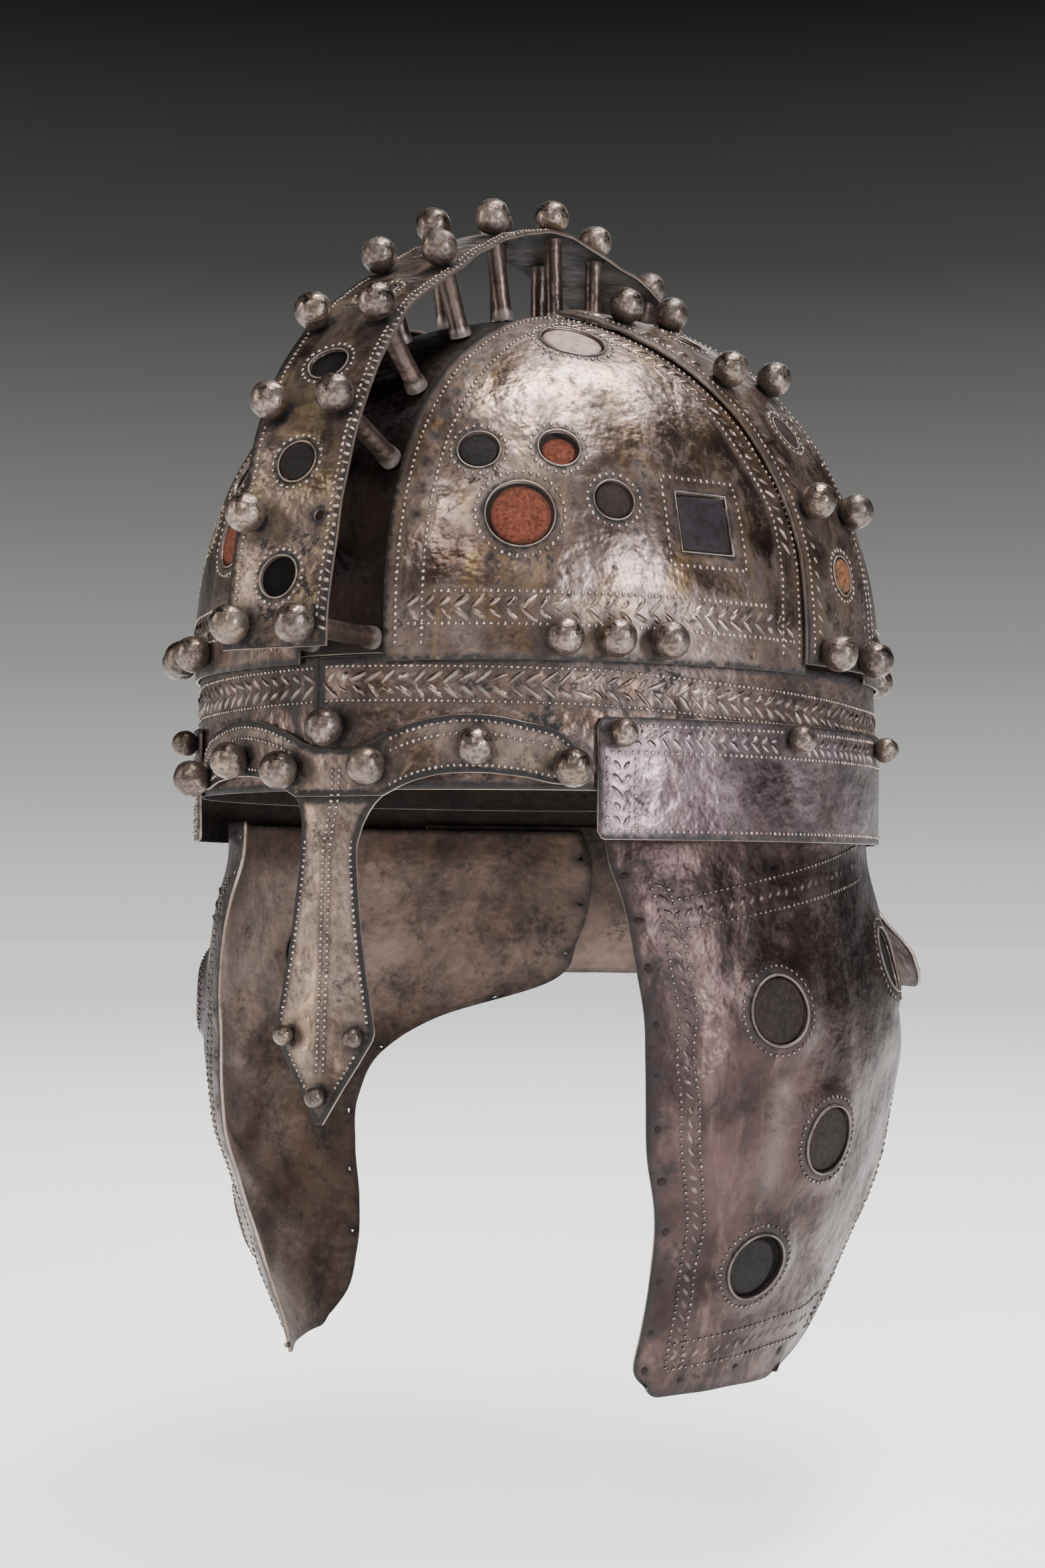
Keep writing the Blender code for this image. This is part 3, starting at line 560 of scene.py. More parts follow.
# One ball stud, beaten hollow and crumpled like foil
FACETS = 210
SWELLS = 30
ball = primitive(
    bpy.ops.mesh.primitive_ico_sphere_add, "crumpled_ball_pattern", subdivisions=4, radius=1.0)
crumple = np.random.default_rng(5)
facets = unit(crumple.normal(size=(FACETS, 3)))
facet_depths = crumple.uniform(-0.010, 0.010, size=FACETS)
round_shape = unit(own_points(ball))
closeness = np.degrees(np.arccos(np.clip(round_shape @ facets.T, -1, 1)))
nearest_two = np.sort(closeness, axis=1)[:, :2]
creases = np.exp(-(((nearest_two[:, 1] - nearest_two[:, 0]) / 2.2) ** 2))
swell_ways = facets[:SWELLS].T * crumple.uniform(3, 8, size=SWELLS)
swell_starts = crumple.uniform(0, 6.28, size=SWELLS)
swells = 0.5 * np.sin(round_shape @ swell_ways + swell_starts).sum(-1) / 5.5
radii = 0.975 + facet_depths[np.argmin(closeness, axis=1)] - 0.016 * creases + 0.018 * swells
round_shape = round_shape * radii[:, None]
ball.data.vertices.foreach_set("co", round_shape.ravel())
pattern_pieces = [bead, leaf, ball]

outer_band = old_metal(
    "gilt silver of the brow band", "86746d", "382c28", "86694a", 0.4, 1.4, 0.21, soot_and_shade_depth=1.5, dents=1.6)
bead_silver = old_metal("rubbed beads and leaves", "a8988f", "7b6a62", "a3865b", 0.4, 0.3, 0.22)
foil = old_metal(
    "crumpled silver foil of the balls", "85766d", "372d29", "6a5a3e", 0.4, 1.1, 0.18, relief=1.7)


def balls_at(name, places, radius, side=1, sink=0.85, seed=1):
    """Crumpled balls on a sheet, each turned another way."""
    chance = np.random.default_rng(seed)
    points, forward, sideways, normal = places
    shape = own_points(ball)
    balls = []
    for n in range(len(points)):
        spin = np.linalg.qr(chance.normal(size=(3, 3)))[0]
        if np.linalg.det(spin) < 0:
            spin[:, 0] *= -1
        own = shape @ spin.T * radius * 0.98
        own[:, 2] = np.minimum(own[:, 2], 0.96 * radius) + sink * radius
        spots = points[n] + own[:, :1] * forward[n] + own[:, 1:2] * sideways[n] + own[:, 2:] * normal[n]
        handed = np.dot(np.cross(forward[n], sideways[n]), normal[n]) * side
        faces = [tuple(p.vertices) if handed > 0 else tuple(p.vertices)[::-1] for p in ball.data.polygons]
        made = new_mesh(f"{name}_{n}", spots, faces, foil, side)
        # Each ball is darkened on its lower part where it meets the sheet and in its creases, as painted
        # shade with soot, and lightened a little on top as a painted highlight
        low = np.clip(1 - (own[:, 2] / radius) / 0.5, 0, 1)
        marked(made, 0.12 * (1 - low) * (1 - creases), np.maximum(low, 0.75 * creases))
        balls.append(made)
    return balls


band_face = face_over(head_form, 0.0, dent=0.22)


def row_heights(degrees, at):
    """Height of a bead row that drops towards the nape."""
    return np.interp(np.abs(degrees), (0, 40, 62, 97, 180), at)


for side_name, side, start, end in (("left", 1, BAND_JOIN, 180.0), ("right", -1, -BAND_JOIN, 180.0)):
    span = np.linspace(start + 1.0, end - 0.5, 60)
    top_row = row_heights(span, (24.2, 22.9, 20.2, 17.4, 17.4))
    low_row = row_heights(span, (14.6, 13.2, 10.6, 7.8, 7.8))
    beads = together([along_line(band_face, span, row, CLOSE_PITCH) for row in (top_row, low_row)])
    leaves = together([
        turned(along_line(band_face, span, low_row + 0.71 * (top_row - low_row), 4.5), 38),
        turned(along_line(band_face, span, low_row + 0.29 * (top_row - low_row), 4.5), -38),
    ])

    def band_spread(u, v):
        return start + (end - start) * u, BAND_FOOT + (BAND_HEAD - BAND_FOOT) * v

    # Round the beads and leaves the band is darkened: soot in the hollows and painted shade at their feet
    soot_and_shade_marks = [(beads[0], 1.6, 0.6), (leaves[0], 1.9, 0.34)]
    fixed = [
        stamped("band_beads", bead, beads, (0.56, 0.56, 0.52), bead_silver, side),
        stamped(
            "band_leaves", leaf, leaves, (2.9, 0.85, 0.62), outer_band, side,
            rub_and_light=(0.0, 0.5), soot_and_shade=(0.15, 0.0)),
    ]
    if side > 0:
        centre = axes_on(band_face, np.array([-1.3]), np.array([7.0]))
        # Round the centre ball the band is darkened: painted shade at its foot
        soot_and_shade_marks.append((centre[0], 8.0, 1.0))
        fixed += balls_at("centre_ball", centre, 5.7, side, seed=3)
    # Along the top of the band, under the edges of the bowl plates, painted shade
    soot_and_shade_marks.append((band_face(np.linspace(start, end, 300), np.full(300, BAND_HEAD - 1)), 2.6, 0.9))
    made = new_sheet(
        f"brow_band_{side_name}_half", band_face, band_spread, 250, 26, outer_band, inner_metal, side,
        soot_and_shade_marks=soot_and_shade_marks, edge_soot_and_shade=1.3)
    placed(joined(made, fixed), f"brow_band_{side_name}")

# Bowl plates: four domed quarters of gilt silver over the cap, beaded along their edges.
# Each front one is pierced for six stones and has three balls soldered along its foot.
PLATE_LIFT = 1.6
FRONT_SHARES = (0.00, 0.14, 0.28, 0.42, 0.55, 0.67, 0.78, 0.86, 0.91, 0.935)
FRONT_INNER = (7.5, 7.6, 7.8, 8.2, 9.0, 10.6, 13.4, 17.8, 24.6, 32.0)
FRONT_OUTER = (76.3, 76.6, 77.0, 76.4, 73.1, 68.8, 62.5, 52.5, 42.0, 34.0)
REAR_SHARES = (0.00, 0.14, 0.28, 0.42, 0.55, 0.67, 0.78, 0.86, 0.92, 0.94)
REAR_INNER = (7.5, 7.6, 7.8, 8.2, 9.0, 10.6, 13.4, 18.5, 30.0, 45.0)
REAR_OUTER = (83.5, 83.0, 82.5, 83.3, 84.3, 86.0, 88.0, 91.0, 92.0, 70.0)
BALL = 5.7
STUD_ANGLES = (34.2, 41.5, 49.2)
STUD_SHARE = 0.053
# Settings: name, degrees, height share, shape, half size, bead ring, kept on the left and on the right
SETTINGS = (
    ("large_disc", 27.9, 0.348, "round", 9.5, 12.5, True, True),
    ("grey_disc", 20.9, 0.507, "round", 5.8, 7.9, True, False),
    ("red_disc", 33.7, 0.514, "round", 5.8, 8.1, True, False),
    ("brown_disc", 42.2, 0.388, "round", 5.8, 7.9, True, False),
    ("square_stone", 57.1, 0.347, "square", 8.8, 13.2, True, False),
    ("top_disc", 36.7, 0.827, "round", 9.5, 12.1, True, False),
)


def height_at(share):
    return BAND_TOP + BOWL_RISE * np.asarray(share, float)


def round_point(face, a, b, right, up):
    """The places right and up millimetres away from one place of a face."""
    return shifted(face, np.full(len(right), float(a)), np.full(len(right), float(b)), right, up)


def ring_round(face, a, b, radius, pitch, shape="round"):
    """Places of a ring or square of beads round a setting."""
    if shape == "round":
        turn = np.linspace(0, 2 * np.pi, 73)
        right, up = radius * np.cos(turn), radius * np.sin(turn)
    else:
        right = radius * np.array([-1, 1, 1, -1, -1.0])
        up = radius * np.array([-1, -1, 1, 1, -1.0])
        corners = np.linspace(0, 4, 81)
        right, up = np.interp(corners, range(5), right), np.interp(corners, range(5), up)
    return along_line(face, *round_point(face, a, b, right, up), pitch)


def collar_at(face, a, b, radius, material, side=1, shape="round", wide=0.32, high=0.4):
    """The lip raised round a hole, lighter on top as a painted highlight and darker at its foot with soot and
    painted shade.
    """
    round_one = shape == "round"
    lip = primitive(
        bpy.ops.mesh.primitive_torus_add, "lip", major_segments=44 if round_one else 4, minor_segments=8,
        major_radius=1.0 if round_one else 2**0.5, minor_radius=0.1)
    x, y, z = own_points(lip).T
    if round_one:
        ring = np.hypot(x, y)
    else:
        x, y = (x - y) * math.cos(math.radians(45)), (x + y) * math.sin(math.radians(45))
        ring = np.maximum(np.abs(x), np.abs(y))
    grow = (radius + 0.25 + (ring - 1.0) / 0.1 * wide) / ring
    rise = z / 0.1 * high
    spots, _, _, normal = axes_on(face, *round_point(face, a, b, x * grow, y * grow))
    set_points(lip, spots + normal * rise[:, None], side)
    lip.data.materials.append(material)
    # Lighter on top, darker at the foot: painted highlight above, painted shade with soot below
    high_share = np.clip(rise / high, 0, 1)
    marked(lip, 0.2 * high_share, 0.85 - 0.7 * high_share)
    clean_mesh(lip, 60)
    return lip


plate_silver = old_metal(
    "bright gilt silver of the bowl", "95847d", "52433d", "a58858", 0.42, 1.0, 0.20, soot_and_shade_depth=1.25, dents=0.95)
SHOULDER = 0.55
SIDE_FULLNESS = 3.2


def stone_at(
        name, face, a, b, half, sink, material, side=1, shape="round", bulge=0.7, ragged=0.03,
        shift=(0.0, 0.0), seed=1):
    """A stone, glass or paste in its hole: a thick disc with a worn edge and an uneven top."""
    made = primitive(bpy.ops.mesh.primitive_uv_sphere_add, name, segments=40, ring_count=26, radius=1.0)
    points = own_points(made)
    x, y, z = points.T
    ring = (1 - np.abs(z) ** SIDE_FULLNESS) ** (1 / SIDE_FULLNESS)
    old = np.maximum(np.hypot(x, y), 1e-9)
    x, y = x / old, y / old
    top_ring = np.sqrt(np.clip((1 - np.abs(z)) / (1 - SHOULDER), 0, 1)) * 0.93
    spread_out = np.where(np.abs(z) > SHOULDER, top_ring, ring)
    chance = np.random.default_rng(seed)
    ways = chance.normal(size=(8, 3)) * 2.6
    starts = chance.uniform(0, 6.28, 8)
    rough = np.sin(points @ ways.T + starts).mean(-1)
    outline = spread_out * (1 + ragged * rough)
    if shape == "square":
        outline = outline / np.maximum(np.maximum(np.abs(x), np.abs(y)), 0.74)
    thick = 0.9
    top = np.sign(z) * np.minimum(np.abs(z) / SHOULDER, 1) * thick
    top = np.where(z > 0.5, thick + bulge * (1 - spread_out**2) + 0.18 * rough, top)
    right = x * outline * half + shift[0]
    up = y * outline * half + shift[1]
    centre, first, second, normal = axes_on(face, np.array([float(a)]), np.array([float(b)]))
    second = unit(second - first * np.sum(first * second))
    spots = centre + right[:, None] * first + up[:, None] * second + (top - thick - sink)[:, None] * normal
    set_points(made, spots, side)
    made.data.materials.append(material)
    # The stone is darkened round its rim where it sits in the hole: painted shade with some dirt
    marked(made, 0.0, np.clip((spread_out - 0.8) * 3, 0, 0.7))
    clean_mesh(made, 50, weld=True)
    return made


def paste(name, light, dark, grain, rough, relief):
    """Stone, glass or fired paste: two tones in grains, dull on its surface."""
    made, sockets, place = new_material(name)
    grains = noise(made, place, 1000.0 / grain, 7.0, 0.72)
    soot_and_shade = add_node(made, "ShaderNodeAttribute", attribute_name="soot_and_shade").outputs["Fac"]
    # Marked places darken to near black: painted shade round a stone's rim, black corrosion in the sewing
    # holes
    colour = mixed(made, soot_and_shade, mixed(made, ranged(made, grains, 0.36, 0.64), dark, light), "2a2120")
    made.node_tree.links.new(colour, sockets["Base Color"])
    sockets["Roughness"].default_value = rough
    sockets["Specular IOR Level"].default_value = 0.16
    made.node_tree.links.new(raised(made, grains, 0.6, relief / 1000), sockets["Normal"])
    return made


# Fired clay paste is matt and crumbly, decayed glass is grey-violet with a dull skin, the shell is pink-white
terracotta = paste("terracotta paste", "784434", "44251b", 1.2, 0.92, 0.8)
grey_glass = paste("decayed grey glass", "1e1b1c", "0c0b0b", 1.6, 0.7, 0.5)
brown_glass = paste("decayed brown glass", "2c2422", "130f0e", 1.6, 0.7, 0.5)
violet_glass = paste("violet glass plate", "262126", "110f12", 3.0, 0.5, 0.3)
amber_glass = paste("weathered amber cabochon", "7c5434", "35241a", 1.4, 0.6, 0.7)
pale_shell = paste("pink-white shell", "b09a93", "7d6b66", 2.5, 0.5, 0.4)

# Material, bulge and raggedness of the stone in each setting of the plates, and the slot of its piece
setting_stones = {
    "large_disc": (terracotta, 0.35, 0.05, "terracotta_paste"),
    "grey_disc": (grey_glass, 0.5, 0.05, "grey_glass"),
    "red_disc": (terracotta, 0.3, 0.10, "terracotta_paste"),
    "brown_disc": (brown_glass, 0.6, 0.04, "grey_glass"),
    "square_stone": (violet_glass, 0.3, 0.03, "grey_glass"),
    "top_disc": (pale_shell, 0.4, 0.05, "pale_shell"),
}


def plate_edges(end, height):
    """Degrees of a plate's inner and outer edge at a height."""
    share = (height - BAND_TOP) / BOWL_RISE
    if end == "front":
        return smooth_line(share, FRONT_SHARES, FRONT_INNER), smooth_line(share, FRONT_SHARES, FRONT_OUTER)
    inner, outer = (smooth_line(share, REAR_SHARES, edge) for edge in (REAR_INNER, REAR_OUTER))
    return 180 - inner, 180 - outer


plate_face = face_over(head_form, PLATE_LIFT, dent=0.30)

for end, middle, top_share in (("front", 38.0, 0.935), ("rear", 130.0, 0.94)):
    heights = even_values(head_form, middle, BAND_TOP + 0.2, height_at(top_share), 200)

    def plate_spread(u, v):
        height = np.interp(v, np.linspace(0, 1, len(heights)), heights)
        inner, outer = plate_edges(end, height)
        return inner + (outer - inner) * u, height

    def inset_line(depth, low_share, high_share=1.0):
        """A line depth millimetres inside the plate's arched edge, from the inner foot over the top."""
        rise = np.linspace(low_share, high_share, 60)
        u = np.concatenate([np.zeros(60), np.linspace(0, 1, 12)[1:-1], np.ones(60)])
        v = np.concatenate([rise, np.full(10, high_share), rise[::-1]])
        a, b = plate_spread(u, v)
        edge = plate_face(a, b)
        _, first, second, normal = axes_on(plate_face, a, b)
        ahead = unit(np.gradient(edge, axis=0))
        for _ in range(6):
            ahead[1:-1] = unit(ahead[:-2] + 2 * ahead[1:-1] + ahead[2:])
        inward = unit(np.cross(ahead, normal)) * (1 if end == "front" else -1)
        second = unit(second - first * np.sum(first * second, -1, keepdims=True))
        right, up = (depth * np.sum(inward * way, -1) for way in (first, second))
        return shifted(plate_face, a, b, right, up)

    for side_name, side in SIDES:
        beads = [along_line(plate_face, *inset_line(depth, 0.03), BEAD_PITCH) for depth in (3.6, 11.2)]
        leaves = []
        foot_low = (11.0, 74.0) if end == "front" else (169.0, 100.0)
        foot_high = (15.0, 68.0) if end == "front" else (165.0, 106.0)
        span = np.linspace(0, 1, 40)
        low_a = foot_low[0] + (foot_low[1] - foot_low[0]) * span
        high_a = foot_high[0] + (foot_high[1] - foot_high[0]) * span
        low_b = height_at(0.088 - 0.010 * span)
        high_b = height_at(0.163 - 0.005 * span)
        beads.append(along_line(plate_face, low_a, low_b, BEAD_PITCH))
        beads.append(along_line(plate_face, high_a, high_b, BEAD_PITCH))
        leaves.append(turned(along_line(plate_face, low_a, low_b + 6.2, 4.6), 40))
        leaves.append(turned(along_line(plate_face, low_a, low_b + 2.7, 4.6), -40))
        arch_a, arch_b = inset_line(7.4, 0.25)
        arch = turned(along_line(plate_face, arch_a, arch_b, 4.2), 45)
        arch_half = len(arch[0]) * 5 // 9
        leaves.append(some(arch, slice(arch_half, None)) if end == "front" else arch)
        holes = []
        collars = []
        if end == "front":
            for name, a, share, shape, half, ring, kept_left, kept_right in SETTINGS:
                b = float(height_at(share))
                holes.append((shape, half, a, b))
                beads.append(ring_round(plate_face, a, b, ring, 2.2, shape))
                collars.append(collar_at(
                    plate_face, a, b, half, plate_silver, side, shape, wide=0.30, high=0.35))
                if kept_left if side > 0 else kept_right:
                    material, bulge, ragged, slot = setting_stones[name]
                    low = name == "red_disc"
                    loose = low or name == "large_disc"
                    gem = stone_at(
                        f"{name}_{side_name}_stone", plate_face, a, b, half - (0.9 if loose else 0.5),
                        1.6 if low else 0.6, material, side, shape, bulge=bulge, ragged=ragged,
                        shift=(0.25, -0.45) if loose else (0.0, 0.0), seed=len(name))
                    placed(gem, f"{name}_{side_name}")
        beads = together(beads)
        leaves = together(leaves)
        for shape, half, a, b in holes:
            centre = plate_face(np.float64(a), np.float64(b))
            beads = some(beads, np.linalg.norm(beads[0] - centre, axis=1) > half + 1.6)
            leaves = some(leaves, np.linalg.norm(leaves[0] - centre, axis=1) > half + 3.4)
        stud_a = np.array(STUD_ANGLES) if end == "front" else 180 - np.array(STUD_ANGLES)
        studs = axes_on(plate_face, stud_a, np.full(3, float(height_at(STUD_SHARE))))
        # Round the beads, leaves and balls the plate is darkened: soot in the hollows and painted shade at
        # the balls' feet
        soot_and_shade_marks = [(beads[0], 1.4, 0.5), (leaves[0], 1.8, 0.28), (studs[0], 7.9, 1.0)]
        if end == "front":
            soot_and_shade_marks.append((arch[0][1:arch_half:2], 3.4, 0.85))
        made = new_sheet(
            f"{end}_plate_{side_name}", plate_face, plate_spread, 92, 96, plate_silver, inner_metal, side,
            holes=holes, soot_and_shade_marks=soot_and_shade_marks)
        fixed = [
            stamped("plate_beads", bead, beads, (0.64, 0.64, 0.6), bead_silver, side),
            stamped(
                "plate_leaves", leaf, leaves, (2.6, 0.8, 0.55), plate_silver, side,
                rub_and_light=(0.0, 0.35), soot_and_shade=(0.15, 0.0)),
        ]
        fixed += collars
        fixed += balls_at("plate_ball", studs, BALL, side, seed=20 + side)
        placed(joined(made, fixed), f"bowl_plate_{end}_{side_name}")

# Side bands: one gilt silver band on each side, from the brow band to the crown, over the plates' edges.
# Each has three settings on its middle line with beads round them, and pairs of balls between.
OVERLAY_LIFT = 3.5
BAND_TURNS = (14, 30, 45, 60, 75, 90)
BAND_FRONTS = (-47.9, -43.5, -36.5, -31.2, -26.8, -28.4)
BAND_WIDTH = 42.0
BAND_LAP = 2.0
BAND_BALL_TURNS = (88.0, 68.0, 43.5, 23.0)
BAND_BALL_SHARES = (0.20, 0.76)
BAND_SETTINGS = (
    ("cabochon", 77.5, True, True),
    ("band_disc", 54.0, True, False),
    ("band_hole", 30.5, False, False),
)
SMALL_HOLE = 5.8
SMALL_STONE = 5.45


def side_form(along, turn):
    """Points of a line from the rim to the crown on the left, along millimetres from the middle."""
    along = along / HALF_LENGTH
    reach = np.sin(np.radians(np.clip(turn, 0, 90))) ** (2 / SIDE_POWER)
    return crown_form(reach * np.sqrt(1 - along**2), along + 0 * turn)


band_turns = even_values(side_form, -28.0, 89.2, 14.0, 200)
lapping_face = face_over(side_form, OVERLAY_LIFT, dent=0.25)


def lap_along(share, turn):
    return np.interp(turn, BAND_TURNS, BAND_FRONTS) - BAND_LAP + (BAND_WIDTH + 2 * BAND_LAP) * share


def lap_spread(u, v):
    turn = np.interp(v, np.linspace(0, 1, len(band_turns)), band_turns)
    return lap_along(u, turn), turn


side_silver = old_metal(
    "gilt silver of the side bands", "92817a", "52433d", "9a7f54", 0.42, 1.1, 0.22, soot_and_shade_depth=1.25, dents=1.3)

# A black disc behind a hole paints the shade seen through it, so that the hole stays dark
black_hole_shade = paste("black painted shade behind the holes", "0b0909", "050404", 2.5, 0.95, 0.4)


def shade_behind_hole(face, a, b, radius, side=1):
    """A thin black disc behind a hole, against the inner face of the sheet: painted shade."""
    hole_shade = primitive(
        bpy.ops.mesh.primitive_circle_add, "hole_shade", vertices=40, radius=1.0, fill_type="TRIFAN")
    own = own_points(hole_shade) * (radius + 0.9)
    spots, _, _, normal = axes_on(face, *round_point(face, a, b, own[:, 0], own[:, 1]))
    set_points(hole_shade, spots - normal * (SHEET + 0.08), side)
    hole_shade.data.materials.append(black_hole_shade)
    clean_mesh(hole_shade, 40)
    if hole_shade.data.polygons[0].normal.dot(Vector(normal[0] * (side, 1, 1))) < 0:
        flip_mesh()
    thick = hole_shade.modifiers.new("hole_shade", "SOLIDIFY")
    thick.thickness = 0.0004
    thick.offset = -1
    bpy.ops.object.modifier_apply(modifier="hole_shade")
    bpy.ops.object.shade_smooth_by_angle(angle=math.radians(40))
    return hole_shade


for side_name, side in SIDES:
    holes = []
    beads = []
    collars = []
    for name, turn, kept_left, kept_right in BAND_SETTINGS:
        a = float(lap_along(0.5, turn))
        holes.append(("round", SMALL_HOLE, a, turn))
        beads.append(ring_round(lapping_face, a, turn, 7.9, 2.1))
        collars.append(collar_at(lapping_face, a, turn, SMALL_HOLE, side_silver, side))
        if kept_left if side > 0 else kept_right:
            amber = name == "cabochon"
            gem = stone_at(
                f"{name}_{side_name}_stone", lapping_face, a, turn, SMALL_STONE, 0.2,
                amber_glass if amber else brown_glass, side, bulge=1.6 if amber else 0.6, ragged=0.05, seed=4)
            placed(gem, f"{name}_{side_name}")
        else:
            collars.append(shade_behind_hole(lapping_face, a, turn, SMALL_HOLE, side))
    line = band_turns[4:-4:6]
    for share in (0.07, 0.93):
        beads.append(along_line(lapping_face, lap_along(share, line), line, BEAD_PITCH))
    leaves = turned(along_line(lapping_face, lap_along(0.155, line), line, 4.4), 42)
    more = turned(along_line(lapping_face, lap_along(0.845, line), line, 4.4), -42)
    leaves = together([leaves, more])
    ball_b = np.repeat(BAND_BALL_TURNS, 2)
    studs = axes_on(lapping_face, lap_along(np.tile(BAND_BALL_SHARES, len(BAND_BALL_TURNS)), ball_b), ball_b)
    beads = together(beads)
    beads = some(beads, distances(beads[0], studs[0]) > 4.6)
    leaves = some(leaves, distances(leaves[0], studs[0]) > 5.6)
    # Round the beads, leaves and balls the band is darkened: soot in the hollows and painted shade at the
    # balls' feet
    soot_and_shade_marks = [(beads[0], 1.2, 0.42), (leaves[0], 1.6, 0.2), (studs[0], 7.6, 1.0)]
    made = new_sheet(
        f"side_band_{side_name}_sheet", lapping_face, lap_spread, 42, 130, side_silver, inner_metal, side,
        holes=holes, soot_and_shade_marks=soot_and_shade_marks)
    fixed = [
        stamped("side_beads", bead, beads, (0.64, 0.64, 0.58), bead_silver, side),
        stamped(
            "side_leaves", leaf, leaves, (2.1, 0.75, 0.48), side_silver, side,
            rub_and_light=(0.0, 0.35), soot_and_shade=(0.15, 0.0)),
    ]
    fixed += collars
    fixed += balls_at("side_ball", studs, BALL, side, seed=30 + side)
    placed(joined(made, fixed), f"side_band_{side_name}")

# Crest: a strap of gilt silver with beaded edges, held over the ridge on two rows of tube posts.
# A pin runs up each tube, through the strap, and holds a crumpled ball on top.
CREST_HEIGHT = 25.5
CREST_WIDTH = 33.0
ROW_GAP = 20.2
TUBE = 2.8
CREST_TURNS = (-90, -80, -66, -52, -34, -20, -6, 2, 18, 50, 75, 90)
CREST_RISES = (1.30, 1.14, 1.04, 0.93, 0.79, 0.94, 1.08, 1.02, 1.05, 1.00, 1.06, 1.20)
POST_TURNS = (-78.8, -66.0, -51.3, -33.7, -19.9, -6.0, 1.7, 17.9, 32.5, 47.0, 61.5, 75.5)
FIRST_POST = -math.degrees(math.acos(0.058 ** (FRONT_POWER / 2)))
LAST_POST = math.degrees(math.acos(0.058 ** (REAR_POWER / 2)))
CREST_SETTINGS = (
    (-84.5, False), (-72.6, True), (-59.1, False), (-43.6, True), (25.0, True), (54.0, True), (68.5, False))


def crest_form(x, turn):
    """Points of the strap's outer face: it follows the ridge's middle line at the posts' height."""
    x, turn = np.broadcast_arrays(np.asarray(x, float), np.asarray(turn, float))
    foot, _, _, outward = axes_on(ridge_form, 0.0 * turn, np.clip(turn, -89.8, 89.8))
    rise = CREST_HEIGHT * smooth_line(turn, CREST_TURNS, CREST_RISES) + SHEET / 2
    sag = 0.5 - 0.9 * (x / (CREST_WIDTH / 2)) ** 2
    outward = unit(outward * (0, 1, 1))
    lift = rise + sag + 0.35 * beaten(foot * 1.7 + x[..., None] * (1, 0, 0))
    return foot * (0, 1, 1) + x[..., None] * (1, 0, 0) + outward * lift[..., None]


crest_turns = even_values(crest_form, 0.0, -89.9, 89.9, 400)


def crest_spread(u, v):
    turn = np.interp(v, np.linspace(0, 1, len(crest_turns)), crest_turns)
    return (u - 0.5) * CREST_WIDTH, turn


crest_silver = old_metal(
    "gilt silver of the crest strap", "84746c", "3c302c", "b8a37c", 0.68, 1.3, 0.23, soot_and_shade_depth=1.35, dents=1.4)
post_silver = old_metal("brown tube silver", "5d4d47", "362b28", "56422c", 0.35, 0.7, 0.24)
posts = (FIRST_POST, *POST_TURNS, LAST_POST)
holes = [("round", SMALL_HOLE, 0.0, turn) for turn, kept in CREST_SETTINGS]
line = crest_turns[3:-3:8]
beads = [along_line(crest_form, np.full(len(line), x), line, BEAD_PITCH) for x in (-13.6, 13.6)]
collars = []
for turn, kept in CREST_SETTINGS:
    beads.append(ring_round(crest_form, 0.0, turn, 7.8, 2.1))
    collars.append(collar_at(crest_form, 0.0, turn, SMALL_HOLE, crest_silver))
    if not kept:
        collars.append(shade_behind_hole(crest_form, 0.0, turn, SMALL_HOLE))
rope = turned(along_line(crest_form, np.full(len(line), 15.2), line, 2.6), 62)

# The second post of the left row is lost, and its pin's hole in the strap is open
LOST_POST = (1, 1)
post_places = [(number, sign) for number in range(len(posts)) for sign in (1, -1)]
post_places.remove(LOST_POST)
ball_a = np.array([sign * ROW_GAP / 2 for number, sign in post_places])
ball_b = np.array([posts[number] for number, sign in post_places])
balls = axes_on(crest_form, ball_a, ball_b)
beads = together(beads)
beads = some(beads, distances(beads[0], balls[0]) > 4.4)
holes.append(("round", 1.6, ROW_GAP / 2, posts[1]))
lost_place = crest_form(np.array([ROW_GAP / 2]), np.array([posts[1]]))
# Round the beads, rope, balls and the lost post's hole the strap is darkened: soot and painted shade
soot_and_shade_marks = [(beads[0], 1.4, 0.5), (balls[0], 7.8, 1.0), (lost_place, 5.0, 0.9), (rope[0], 1.6, 0.4)]
strap = new_sheet(
    "crest_strap_sheet", crest_form, crest_spread, 26, 330, crest_silver, inner_metal,
    holes=holes, soot_and_shade_marks=soot_and_shade_marks)
fixed = [
    stamped("crest_beads", bead, beads, (0.64, 0.64, 0.58), bead_silver),
    stamped("crest_rope", leaf, rope, (1.2, 0.5, 0.45), bead_silver, rub_and_light=(0.1, 0.7)),
]
fixed += collars
placed(joined(strap, fixed), "crest_strap")
for number, (turn, kept) in enumerate(CREST_SETTINGS, start=1):
    if kept:
        gem = stone_at(
            f"crest_disc_{number}_stone", crest_form, 0.0, turn, SMALL_STONE, -0.1, grey_glass,
            bulge=0.9, ragged=0.05, seed=number)
        placed(gem, f"crest_disc_{number}")

